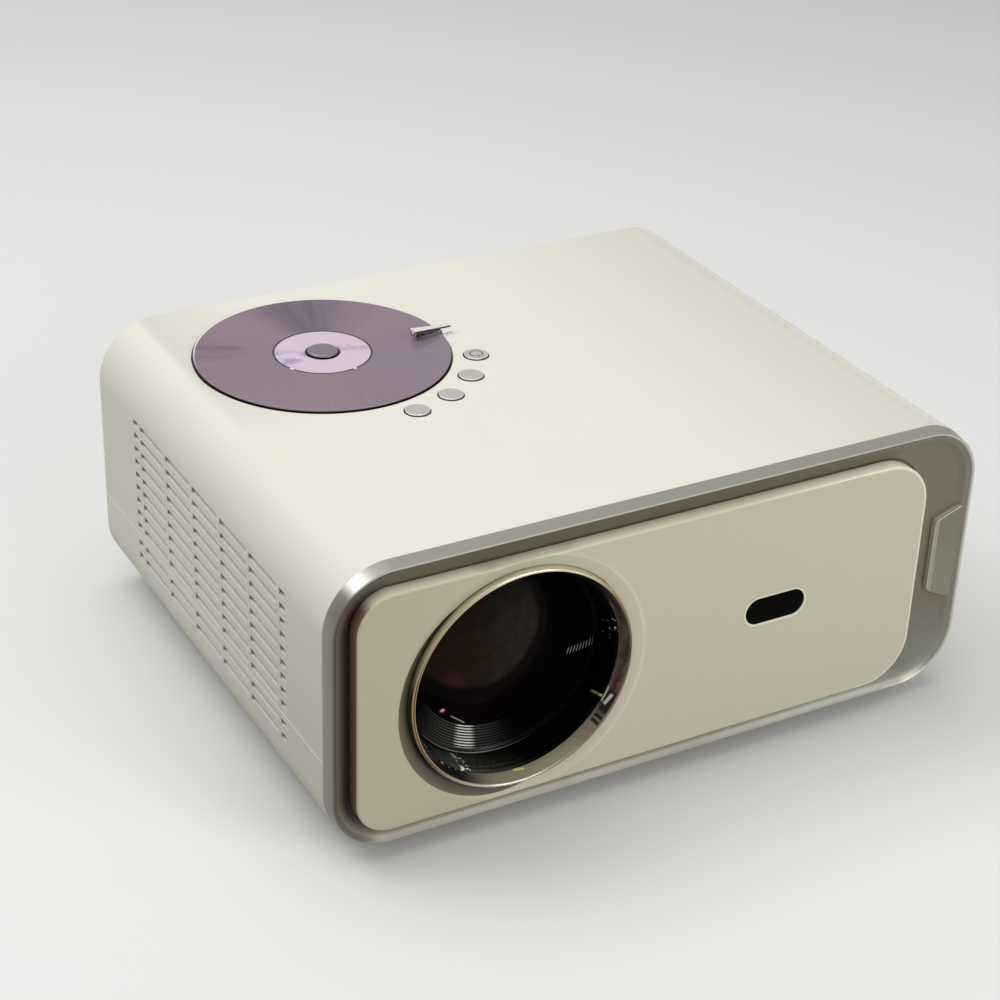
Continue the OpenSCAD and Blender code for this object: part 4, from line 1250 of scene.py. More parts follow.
@dataclass
class DiscPlayer:
    """The disc, the centre key and the chrome arm."""

    centre: tuple[float, float] = (-78.3, 59.3)
    top: float = 142.9
    thick: float = 1.2
    radius: float = 60.0
    hole: float = 7.5
    well_bottom: float = 132.6
    casing_top: float = 141.6
    arm: tuple[float, float] = (-13.4, 56.55)
    arm_angle: float = 188.3
    arm_reach: tuple[float, float] = (-1.2, 21.0)
    arm_tops: tuple[float, float] = (145.6, 148.1)
    arm_halves: tuple[float, float] = (0.85, 2.15)
    arm_foot: float = 4.4

    def disc(self, bench: Bench) -> bpy.types.Object:
        """Model the disc with its stacking ring groove and rounded edge.

        Args:
            bench: the modelling tools.

        Returns:
            The disc.
        """
        t = self.thick
        profile = [(self.hole, -t), (self.radius - 0.25, -t), (self.radius, -t + 0.25), (self.radius, -0.25),
                   (self.radius - 0.08, -0.08), (self.radius - 0.25, 0), (23.35, 0), (23.15, -0.14),
                   (22.55, -0.14), (22.35, 0), (8.35, 0), (8.1, -0.06), (self.hole, -0.5)]
        piece = bench.turned("disc_plate", profile, (*self.centre, self.top), Axis.UP, closed=True, steps=256)
        bench.smooth(piece, 50)
        return piece

    def centre_key(self, bench: Bench) -> bpy.types.Object:
        """Model the hub key with a shallow crown.

        Args:
            bench: the modelling tools.

        Returns:
            The key.
        """
        profile = [(0, 1.6), (3.5, 1.57), (5.8, 1.46), (6.6, 1.25), (7.05, 0.95), (7.2, 0.6), (7.2, 0.42),
                   (2, 0.42), (2, -23), (0, -23)]
        piece = bench.turned("hub_key", profile, (*self.centre, self.top), Axis.UP, steps=96)
        bench.smooth(piece, 40)
        return piece

    def clamp_arm(self, bench: Bench) -> bpy.types.Object:
        """Model the arm: a tapered bar that stands on the casing and ends over the disc, on its pin.

        Args:
            bench: the modelling tools.

        Returns:
            The arm.
        """
        (back, tip), (low, high) = self.arm_reach, self.arm_tops
        bottom, over = self.casing_top + 0.3, self.top + 1.3
        bench.trace([(back, bottom), (self.arm_foot, bottom), (self.arm_foot + 0.4, over), (tip - 0.5, over),
                     (tip, over + 0.6), (tip, high), (back, low)])
        bench.grow(2 * self.arm_halves[1])
        bpy.ops.object.mode_set(mode="OBJECT")
        bar = bpy.context.object
        bar.rotation_euler = (math.radians(90), 0, 0)
        bar.location = (0, self.arm_halves[1] * MM, 0)
        bench.done_object(bar, "clamp_arm")
        bench.edit(bar)
        mesh = bar.data
        body = bmesh.from_edit_mesh(mesh)
        for vert in body.verts:
            share = (vert.co.x / MM - back) / (tip - back)
            half = self.arm_halves[0] + share * (self.arm_halves[1] - self.arm_halves[0])
            vert.co.y = math.copysign(half * MM, vert.co.y)
        bmesh.update_edit_mesh(mesh)
        bpy.ops.object.mode_set(mode="OBJECT")
        bench.soften(bar, 0.28, 3, 40)
        seat = self.well_bottom
        profile = [(0, bottom + 1.2), (0.85, bottom + 1.2), (0.85, seat + 0.8), (1.6, seat + 0.8), (1.6, seat),
                   (0, seat)]
        pin = bench.turned("pin", profile, (0, 0, 0), Axis.UP, steps=48)
        bench.clear()
        pin.select_set(True)
        bar.select_set(True)
        bpy.context.view_layer.objects.active = bar
        bpy.ops.object.join()
        bar.rotation_euler = (0, 0, math.radians(self.arm_angle))
        bar.location = (self.arm[0] * MM, self.arm[1] * MM, 0)
        bench.done_object(bar, "clamp_arm")
        bench.smooth(bar, 40)
        return bar


@dataclass
class KeyRow:
    """The four round keys on their arc."""

    centre: tuple[float, float] = (-78.3, 59.3)
    spread: float = 71.8
    first: float = -25.3
    pitch: float = -17.85
    radius: float = 5.9
    top: float = 141.6
    rise: float = 0.7

    def spot(self, index: int) -> tuple[float, float]:
        """Centre of a key, counted from the power key."""
        angle = math.radians(self.first + index * self.pitch)
        return (self.centre[0] + self.spread * math.cos(angle), self.centre[1] + self.spread * math.sin(angle))

    def key(self, bench: Bench, index: int, name: str) -> bpy.types.Object:
        """Model a key: a cap with a chamfer, which its finish paints bright as a highlight, on a stem.

        Args:
            bench: the modelling tools.
            index: which key it is.
            name: the piece's name.

        Returns:
            The key.
        """
        r, h = self.radius, self.rise
        profile = [(0, h), (r - 0.75, h), (r - 0.62, h - 0.03), (r - 0.14, h - 0.36), (r - 0.03, h - 0.48),
                   (r, h - 0.62), (r, -2), (3, -2), (3, -7.7), (1.05, -7.7), (1.05, -10.5), (0, -10.5)]
        piece = bench.turned(name, profile, (*self.spot(index), self.top), Axis.UP, steps=72)
        bench.smooth(piece, 30)
        return piece

    def power_mark(self, bench: Bench) -> bpy.types.Object:
        """Model the power symbol's inlay: an open ring with a bar in its gap.

        Args:
            bench: the modelling tools.

        Returns:
            The inlay.
        """
        x, y = self.spot(0)
        z = self.top + self.rise - 0.12
        mark = bench.turned("power_mark", [(2.65, 0), (3.3, 0), (3.3, 0.14), (2.65, 0.14)], (x, y, z), Axis.UP,
                            closed=True, steps=48)
        gap = bench.block("gap", (x - 1.1, y - 5, z - 1), (x + 1.1, y - 1, z + 2))
        bench.cut(mark, gap)
        bar = bench.block("bar", (x - 0.32, y - 3.9, z), (x + 0.32, y - 1.3, z + 0.14))
        bench.cut(mark, bar, operation="UNION")
        bench.smooth(mark, 30)
        return mark


@dataclass
class Studio:
    """Pale floor, soft lamps and the camera."""

    lens: float = 81.05
    place: Point = (-0.47617, -0.80678, 0.59758)
    forward: Point = (0.43395, 0.75753, -0.48769)
    roll: float = 2.11
    lamps: tuple[tuple[Point, Point, float, float], ...] = (
        ((-0.25, 0.15, 1.5), (0, 0, 0.1), 1.6, 11.6),
        ((-1.1, 0.6, 1.45), (0, 0, 0.08), 0.8, 6.9),
        ((0.7, -1.6, 0.7), (0, 0, 0.08), 1.0, 13.0),
        ((-0.75, 1.35, 1.25), (0, 0, 0.1), 0.4, 1.5),
    )

    def camera(self) -> None:
        """Place the camera."""
        data = bpy.data.cameras.new("camera")
        data.lens = self.lens
        data.sensor_width = 36.0
        data.clip_start = 0.05
        holder = bpy.data.objects.new("camera", data)
        bpy.context.scene.collection.objects.link(holder)
        ahead = Vector(self.forward).normalized()
        right = ahead.cross(Vector((0, 0, 1))).normalized()
        up = right.cross(ahead)
        turn = math.radians(self.roll)
        across = right * math.cos(turn) + up * math.sin(turn)
        above = up * math.cos(turn) - right * math.sin(turn)
        basis = Matrix((across, above, -ahead)).transposed().to_4x4()
        holder.matrix_world = Matrix.Translation(self.place) @ basis
        bpy.context.scene.camera = holder

    def floor(self) -> None:
        """Lay the pale floor."""
        bpy.ops.object.select_all(action="DESELECT")
        bpy.ops.mesh.primitive_plane_add(size=12)
        ground = bpy.context.object
        ground.name = "studio_floor"
        r = Recipe("floor_paint")
        cloud = r.noise(1.5, 3.0)
        pale = r.blend(cloud, (0.78, 0.775, 0.76), (0.80, 0.795, 0.78))
        rays = r.node("ShaderNodeLightPath", {}, {}, "Is Camera Ray").socket.node
        seen = Field(r, rays.outputs["Is Camera Ray"]).at_least(Field(r, rays.outputs["Is Glossy Ray"]))
        seen = seen.at_least(Field(r, rays.outputs["Is Transmission Ray"]))
        colour = r.blend(seen, (0.36, 0.355, 0.34), pale)
        ground.data.materials.append(r.finish(r.surface(Base_Color=colour, Roughness=0.9)))

    def light(self) -> None:
        """Hang the lamps and set the world."""
        for number, (place, target, size, power) in enumerate(self.lamps):
            data = bpy.data.lights.new(f"lamp_{number}", "AREA")
            data.shape = "DISK"
            data.size = size
            data.energy = power
            lamp = bpy.data.objects.new(f"lamp_{number}", data)
            bpy.context.scene.collection.objects.link(lamp)
            lamp.location = place
            lamp.rotation_euler = (Vector(target) - Vector(place)).to_track_quat("-Z", "Y").to_euler()
        world = bpy.data.worlds.new("studio")
        bpy.context.scene.world = world
        world.use_nodes = True
        tree = world.node_tree
        tree.nodes["Background"].inputs["Color"].default_value = (0.86, 0.87, 0.88, 1.0)
        tree.nodes["Background"].inputs["Strength"].default_value = 0.45

    def build(self) -> None:
        """Make the whole studio."""
        self.camera()
        self.floor()
        self.light()
        bpy.context.scene.view_settings.view_transform = "Standard"


# --------------------------------------------------------------------------- special finishes


@dataclass(frozen=True)
class CasingPaint:
    """Cream paint with a fine grain, a pale painted highlight along the seam, painted shade at the front of the
    left side and on the top at the left and right, and louvres with painted shade on their walls and painted
    light on their ledges.

    Attributes:
        name: the material's name.
        half: half the casing's width in metres.
        seam: height of the seam in metres.
        row: height of a louvre's ledge in metres.
        pitch: from one louvre row to the next in metres.
    """

    name: str
    half: float
    seam: float
    row: float = 0.1098
    pitch: float = 0.0069

    def build(self) -> bpy.types.Material:
        """Write the material.

        Returns:
            The material.
        """
        r = Recipe(self.name)
        x, y, z = r.place()
        fine = r.noise(2400.0, 2.0)
        colour = r.blend(r.noise(14.0, 3.0).step(0.35, 0.75) * 0.12, (0.76, 0.745, 0.64), (0.70, 0.67, 0.56))
        # Painted shade: the front of the left side is painted darker, more so lower down.
        calm = x.step(0.022 - self.half, 0.004 - self.half) * y.step(0.05, -0.12) * z.step(0.135, 0.05)
        colour = r.blend(calm * 0.55, colour, (0.50, 0.485, 0.405))
        # Painted shade: the top is painted darker at the left beside the disc and at the right.
        painted_top_shade = x.step(-0.085, -0.150) * y.step(-0.03, 0.06) + x.step(0.02, 0.15) * 0.8
        colour = r.blend(painted_top_shade * z.step(0.1395, 0.1413) * 0.9, colour, (0.60, 0.59, 0.50))
        # Painted highlight: a pale line along the seam on both sides.
        line = z.near(self.seam, 0.0007).step(0.0, 0.5) * abs(x).step(self.half - 0.002, self.half - 0.0005)
        colour = r.blend(line * 0.8, colour, (0.95, 0.94, 0.86))
        colour = r.blend(fine.step(0.3, 0.75) * 0.2, colour, (0.70, 0.685, 0.585))
        # Inside the louvres, painted light and shade: the walls are painted dark as shade and the upward ledges
        # painted pale as lit.
        side = abs(x) - self.half
        recess = side.step(-0.0002, -0.0004) * side.step(-0.0065, -0.006)
        recess = recess * z.step(0.0375, 0.038) * z.step(0.1132, 0.1130) * abs(y).step(0.092, 0.0915)
        phase = z + z.step(self.seam + 0.0001, self.seam - 0.0001) * 0.0027
        ledge = ((phase - self.row) * (2 * math.pi / self.pitch) + math.pi / 2).sine().step(0.90, 0.96)
        colour = r.blend(recess, colour, r.blend(ledge, (0.40, 0.385, 0.32), (0.99, 0.975, 0.88)))
        rough = (r.noise(60.0, 4.0) - 0.5) * 0.12 + 0.52
        shader = r.surface(Base_Color=colour, Roughness=rough, Coat_Roughness=0.08,
                           Normal=r.bump(fine, 0.35, 0.00003))
        return r.finish(shader)


@dataclass(frozen=True)
class KeyMetal:
    """Satin silver of the round keys, with its chamfer painted bright as a highlight and its side below painted
    dark as shade.

    Attributes:
        name: the material's name.
        top: height of the keys' faces in metres.
    """

    name: str
    top: float

    def build(self) -> bpy.types.Material:
        """Write the material.

        Returns:
            The material.
        """
        r = Recipe(self.name)
        _, _, z = r.place()
        cloud, fine = r.noise(60.0, 3.0), r.noise(2800.0, 2.0)
        colour = r.blend(cloud.step(0.35, 0.7) * 0.3, (0.545, 0.525, 0.485), (0.475, 0.455, 0.445))
        # Painted highlight: the chamfer just below the face is painted pale.
        colour = r.blend(z.step(self.top - 0.00002, self.top - 0.00006), colour, (0.74, 0.72, 0.66))
        # Painted shade: the side below the chamfer is painted dark.
        colour = r.blend(z.step(self.top - 0.00022, self.top - 0.00032), colour, (0.060, 0.056, 0.050))
        shader = r.surface(Base_Color=colour, Roughness=cloud * 0.12 + 0.28, Metallic=0.2, Coat_Weight=0.2,
                           Coat_Roughness=0.12, Normal=r.bump(fine, 0.3, 0.000008))
        return r.finish(shader)


@dataclass(frozen=True)
class TabMetal:
    """Satin silver of the tab, with its edges painted pale as highlights in two fine steps with a painted dark
    line between them, and a painted lighter strip along its left edge.

    Attributes:
        name: the material's name.
        face: Y of its face in metres.
    """

    name: str
    face: float

    def build(self) -> bpy.types.Material:
        """Write the material.

        Returns:
            The material.
        """
        r = Recipe(self.name)
        x, y, z = r.place()
        fine = r.noise(3200.0, 2.0)
        colour = r.blend(z.step(0.060, 0.090), (0.250, 0.235, 0.165), (0.205, 0.190, 0.135))
        # Painted highlight: a lighter strip along the left edge, with a painted dark line inside it.
        colour = r.blend(x.step(0.1451, 0.1448), colour, (0.42, 0.40, 0.32))
        colour = r.blend(x.near(0.1440, 0.0003), colour, (0.17, 0.155, 0.115))
        # Painted highlight: the rounded edges are painted pale, with a painted dark line between the two steps.
        edge = y.step(self.face + 0.00004, self.face + 0.0002)
        colour = r.blend(edge, colour, (0.74, 0.71, 0.59))
        colour = r.blend(y.near(self.face + 0.0011, 0.00022), colour, (0.22, 0.20, 0.15))
        colour = r.blend(fine.step(0.3, 0.75) * 0.2, colour, (0.20, 0.19, 0.145))
        rough = (r.noise(60.0, 4.0) - 0.5) * 0.1 + 0.34
        shader = r.surface(Base_Color=colour, Roughness=rough, Metallic=0.3, Coat_Weight=0.15,
                           Coat_Roughness=0.1, Normal=r.bump(fine, 0.3, 0.000012))
        return r.finish(shader)


@dataclass(frozen=True)
class FrameMetal:
    """Painted metal of the frame: a pale band with painted shade on the left and a painted highlight at the
    top-left corner, a crest painted bright as a highlight and dark as shade on the left, a brown cove with
    painted light and shade, and a gap round the panel painted dark as shade and lighter where lit.

    Attributes:
        name: the material's name.
        outer: half width, half height and corner radius of the frame in metres.
        middle: height of its middle in metres.
        rim: Y of the crest in metres.
    """

    name: str
    outer: Point
    middle: float
    rim: float

    def build(self) -> bpy.types.Material:
        """Write the material.

        Returns:
            The material.
        """
        r = Recipe(self.name)
        x, y, z = r.place()
        inset = r.inset(abs(x), z - self.middle, self.outer)
        depth = y - self.rim
        low = (z - self.middle).step(-0.02, -0.06)
        left = x.step(-0.138, -0.154)
        # Painted shade: the band is darker on the left side, with a painted lighter line at its outer edge.
        band = r.blend(left * 0.8, (0.36, 0.345, 0.30), (0.20, 0.20, 0.16))
        band = r.blend(left * inset.near(0.0, 0.0011) * 0.5, band, (0.32, 0.32, 0.27))
        # Painted highlight at the top-left corner of the band.
        painted_corner_highlight = (x + z).near(-0.012, 0.012) * (x - z).step(-0.270, -0.283)
        band = r.blend(painted_corner_highlight * 0.9, band, (0.86, 0.87, 0.78))
        # The band is darker towards the bottom. The cove floor is brown-grey, with painted light low on the
        # right.
        band = r.blend(low * 0.5, band, (0.27, 0.265, 0.215))
        floor = r.blend(low * 0.8, (0.190, 0.165, 0.113), (0.175, 0.165, 0.122))
        floor = r.blend(low * x.step(0.0, 0.12), floor, (0.265, 0.270, 0.215))
        # Painted shade: on the left the cove darkens towards the panel, with a painted lighter line along its
        # middle.
        left_cove_painted_shading = r.blend(inset.step(0.0045, 0.0082), (0.185, 0.155, 0.110), (0.070, 0.047, 0.030))
        left_cove_painted_shading = r.blend(inset.near(0.0040, 0.0009) * 0.6, left_cove_painted_shading, (0.29, 0.25, 0.185))
        floor = r.blend(x.step(-0.132, -0.150), floor, left_cove_painted_shading)
        # Painted highlight: a lighter line in the cove near the crest on the right.
        edge = inset.near(0.0035, 0.0022) * x.step(0.05, 0.14)
        floor = r.blend(edge * 0.5, floor, (0.34, 0.33, 0.27))
        colour = r.blend(inset.step(0.0017, 0.0021) * depth.step(0.0036, 0.0033), band, floor)
        # Painted highlight: the crest is painted bright, wider on the right; on the left it is painted dark as
        # shade.
        crest = inset.near(0.00155, 0.0004).at_least(inset.near(0.0019, 0.0009) * x.step(0.11, 0.15))
        colour = r.blend(crest * left.step(0.6, 0.2), colour, (0.70, 0.68, 0.58))
        colour = r.blend(crest * left * 0.8, colour, (0.075, 0.065, 0.050))
        # Painted shade: the deep gap round the panel is painted near black, warmer on the left, and painted
        # lighter as lit at the top and the right.
        gap = r.blend(left, (0.022, 0.017, 0.012), (0.045, 0.026, 0.016))
        painted_lit_gap = z.step(0.122, 0.127).at_least(x.step(0.08, 0.13) * z.step(0.05, 0.09))
        gap = r.blend(painted_lit_gap, gap, (0.12, 0.102, 0.076))
        hole = depth.step(0.00312, 0.0032) * inset.step(0.003, 0.004)
        colour = r.blend(hole, colour, gap)
        fine = r.noise(3200.0, 2.0)
        colour = r.blend(fine.step(0.3, 0.75) * (1.0 - hole) * 0.22, colour, (0.17, 0.165, 0.14))
        rough = (r.noise(60.0, 4.0) - 0.5) * 0.1 + 0.34
        shader = r.surface(Base_Color=colour, Roughness=rough, Metallic=0.35,
                           Normal=r.bump(fine, 0.3, 0.000012))
        return r.finish(shader)


@dataclass(frozen=True)
class PanelPaint:
    """Warm beige paint with painted light and shade: a darker left part, side walls painted lit, painted
    highlights on the right edge, the window's rim and the dish's edge, brown painted shade on the left side
    wall and in a crescent of the dish round the lens, and a lit right part of the dish.

    Attributes:
        name: the material's name.
        left: X of the panel's left side in metres.
        right: X of its right side in metres; not used.
        front: Y of its face in metres.
        lens: X and Z of the lens axis in metres.
    """

    name: str
    left: float
    right: float
    front: float
    lens: tuple[float, float]

    def build(self) -> bpy.types.Material:
        """Write the material.

        Returns:
            The material.
        """
        r = Recipe(self.name)
        x, y, z = r.place()
        radius, angle = r.polar(*self.lens, flat=False)
        broad = r.noise(9.0, 3.0)
        colour = r.blend(broad.step(0.35, 0.7) * 0.35, (0.650, 0.605, 0.465), (0.630, 0.595, 0.465))
        # Painted shade: the left part of the panel is darker.
        shade = x.step(-0.045, -0.135).at_least(x.step(-0.02, -0.11) * z.step(0.075, 0.02))
        colour = r.blend(shade * 0.9, colour, (0.545, 0.490, 0.350))
        # Painted light: the side walls are painted lighter than the face, with painted highlights on the right
        # bevel and the top wall.
        flank = y.step(self.front + 0.00045, self.front + 0.0008) * radius.step(0.061, 0.063)
        bevel = y.step(self.front + 0.00003, self.front + 0.0002) * radius.step(0.061, 0.063) * (1.0 - flank)
        colour = r.blend(flank, colour, (0.79, 0.735, 0.575))
        lit = (bevel + flank * z.step(0.125, 0.128)) * x.step(0.02, 0.11)
        colour = r.blend(lit, colour, (0.90, 0.86, 0.71))
        # Painted shade: the left side wall is painted brown, darker away from the face.
        painted_shade_side = x.step(self.left + 0.0085, self.left + 0.003)
        near_face = y.step(self.front + 0.005, self.front + 0.001)
        tan = r.blend(near_face, (0.185, 0.095, 0.062), (0.270, 0.150, 0.098))
        colour = r.blend(flank * painted_shade_side, colour, tan)
        # Painted light: the right part of the dish is painted paler.
        painted_lit_dish = radius.step(0.0600, 0.0590) * radius.step(0.0526, 0.0530)
        painted_lit_dish = painted_lit_dish * (angle + angle.step(-90.0, -91.0) * 360.0).near(25.0, 110.0)
        colour = r.blend(painted_lit_dish * 0.9, colour, (0.80, 0.75, 0.60))
        # Painted highlights: a pale line along the right edge and round the window's opening.
        inset = r.inset(x + 0.0104, z - 0.0738, (0.1418, 0.0576, 0.0225))
        edge = inset.step(0.0015, 0.0011) * x.step(0.09, 0.118)
        away = abs(x - 0.0525) - 0.00905
        rim = (away.at_least(0.0) ** 2 + (z - 0.0747) ** 2).root().step(0.0076, 0.0073)
        colour = r.blend(edge.at_least(rim), colour, (0.90, 0.86, 0.71))
        # Painted shade: a brown crescent in the dish at the lower left of the ring, darkest next to the ring.
        turn = angle + angle.step(0.0, -0.01) * 360.0
        reach = abs(turn - 205.0) / 82.0
        width = (1.0 - reach * reach).at_least(0.0) * 0.0068 + 0.0524
        crescent = (radius - width).step(0.0004, -0.0001) * radius.step(0.0515, 0.0525)
        deep = r.blend((radius - 0.0528) / 0.0065, (0.008, 0.005, 0.002), (0.165, 0.118, 0.068))
        crescent = crescent * reach.step(1.0, 0.93)
        colour = r.blend(crescent, colour, deep)
        # Painted highlight: a pale line at the dish's outer edge on the left.
        ring = radius.near(0.0588, 0.0006) * x.step(-0.06, -0.03)
        colour = r.blend(ring * 0.6, colour, (0.80, 0.76, 0.62))
        fine = r.noise(2600.0, 2.0)
        calm = (1.0 - crescent) * (1.0 - flank * painted_shade_side)
        colour = r.blend(fine.step(0.3, 0.75) * calm * 0.22, colour, (0.55, 0.51, 0.385))
        rough = (r.noise(60.0, 4.0) - 0.5) * 0.1 + 0.48
        shader = r.surface(Base_Color=colour, Roughness=rough, Coat_Weight=flank * 0.25, Coat_Roughness=0.15,
                           Normal=r.bump(fine, 0.35, 0.00002))
        return r.finish(shader)


@dataclass(frozen=True)
class RingMetal:
    """Polished golden-brown metal with painted reflections that change with direction: cream on its outer wall
    at the upper left, beige inside on the right, with painted glints and dark bands.

    Attributes:
        name: the material's name.
        lens: X and Z of the lens axis in metres.
        rim: Y of the frame's rim in metres.
    """

    name: str
    lens: tuple[float, float]
    rim: float

    def build(self) -> bpy.types.Material:
        """Write the material.

        Returns:
            The material.
        """
        r = Recipe(self.name)
        radius, angle = r.polar(*self.lens, flat=False)
        _, y, _ = r.place()
        turn = (angle + angle.step(0.0, -0.01) * 360.0) / 360.0
        gold, umber, cream = (0.50, 0.34, 0.16), (0.085, 0.052, 0.032), (0.62, 0.56, 0.43)
        dusk = (0.34, 0.25, 0.14)
        # Painted reflections: the outer edge and the front face change colour with direction round the ring,
        # with painted glints and dark stretches.
        edge = r.ramp(turn, (
            (0.0, dusk), (0.12, (0.50, 0.42, 0.28)), (0.20, cream), (0.42, cream), (0.47, gold), (0.59, gold),
            (0.635, (0.86, 0.80, 0.70)), (0.72, (0.97, 0.92, 0.84)), (0.79, (0.80, 0.72, 0.60)),
            (0.83, (0.17, 0.12, 0.085)), (1.0, dusk)))
        face = r.ramp(turn, (
            (0.0, umber), (0.1, (0.30, 0.22, 0.13)), (0.18, (0.92, 0.80, 0.54)), (0.30, (0.80, 0.66, 0.42)),
            (0.40, gold), (0.46, umber), (0.60, umber), (0.635, (0.40, 0.30, 0.20)), (0.72, (0.90, 0.82, 0.70)),
            (0.80, (0.40, 0.33, 0.25)), (1.0, umber)))
        colour = r.blend(radius.step(0.05245, 0.05225), edge, face)
        wall = radius.step(0.0526, 0.05275)
        # Painted shadow: the base of the outer wall is darker at the upper left.
        painted_foot_shadow = (y - self.rim).step(-0.0024, -0.0020)
        colour = r.blend(wall * painted_foot_shadow * turn.near(0.40, 0.22), colour, (0.25, 0.165, 0.085))
        # Painted reflection: a dark band across the middle of the outer wall at the left.
        middle = (y - self.rim).step(-0.0039, -0.0034) * (y - self.rim).step(-0.0015, -0.0019)
        colour = r.blend(wall * middle * turn.near(0.54, 0.10).step(0.0, 0.4), colour, (0.060, 0.042, 0.026))
        # Painted highlight: a thin gold line on the front edge at the left.
        painted_lip_highlight = radius.near(0.0515, 0.00035) * turn.near(0.47, 0.19).step(0.0, 0.3)
        colour = r.blend(painted_lip_highlight, colour, (0.62, 0.44, 0.20))
        inside = radius.step(0.0513, 0.0510)
        # Painted reflections on the inner wall: pale streaks, a beige band at the lower right, near black
        # elsewhere, and dark bands with a pale line between them.
        painted_reflection_streak = r.noise(260.0, 3.0, 0.6, (0.35, 1.0, 0.35)).step(0.42, 0.62)
        far = r.blend(painted_reflection_streak, (0.080, 0.056, 0.042), (0.225, 0.18, 0.15))
        beige = r.blend(angle.step(-34.0, -44.0), far, (0.36, 0.305, 0.205))
        inner = r.blend(angle.step(-125.0, -98.0) * angle.step(46.0, 24.0), (0.012, 0.010, 0.009), beige)
        dark = angle.near(-30.0, 8.0).step(0.0, 0.3).at_least(angle.near(-40.5, 4.0).step(0.2, 0.5))
        inner = r.blend(dark * radius.step(0.0495, 0.0497), inner, (0.030, 0.022, 0.017))
        inner = r.blend(angle.near(-40.5, 0.9).step(0.1, 0.5), inner, (0.30, 0.25, 0.20))
        # Painted glints on the inner wall: a white glint with a pale line next to it, a small crimson glint, a
        # yellowish glint and tiny pale specks.
        slant = radius - angle * 0.00007
        painted_white_glint = angle.near(-29.0, 5.0).step(0.1, 0.5) * slant.near(0.05225, 0.00045).step(0.1, 0.5)
        inner = r.blend(painted_white_glint, inner, (0.98, 0.92, 0.90))
        line = angle.near(-27.5, 6.5).step(0.1, 0.4) * radius.near(0.04935, 0.00022).step(0.1, 0.5)
        inner = r.blend(line, inner, (0.90, 0.86, 0.84))
        painted_red_glint = angle.near(-19.3, 1.6).step(0.2, 0.6) * radius.near(0.0507, 0.0005)
        inner = r.blend(painted_red_glint, inner, (0.75, 0.05, 0.08))
        bent = radius - (angle + 88.0) * 0.00005
        painted_yellow_glint = angle.near(-88.0, 4.2).step(0.1, 0.4) * bent.near(0.0494, 0.00032)
        inner = r.blend(painted_yellow_glint.step(0.1, 0.5), inner, (0.95, 0.80, 0.20))
        painted_sparkles = r.noise(420.0, 1.0).step(0.66, 0.70) * radius.near(0.0493, 0.0003)
        inner = r.blend(painted_sparkles, inner, (0.9, 0.85, 0.8))
        colour = r.blend(inside, colour, inner)
        smudge_and_reflection = r.noise(70.0, 4.0)
        rough = smudge_and_reflection.step(0.4, 0.8) * 0.08 + inside * 0.2 + 0.14
        shader = r.surface(Base_Color=colour, Roughness=rough, Metallic=0.5 - inside * 0.3 - wall * 0.3,
                           Normal=r.bump(r.noise(900.0, 3.0, 0.6, (1, 8, 1)), 0.2, 0.000002))
        return r.finish(shader)


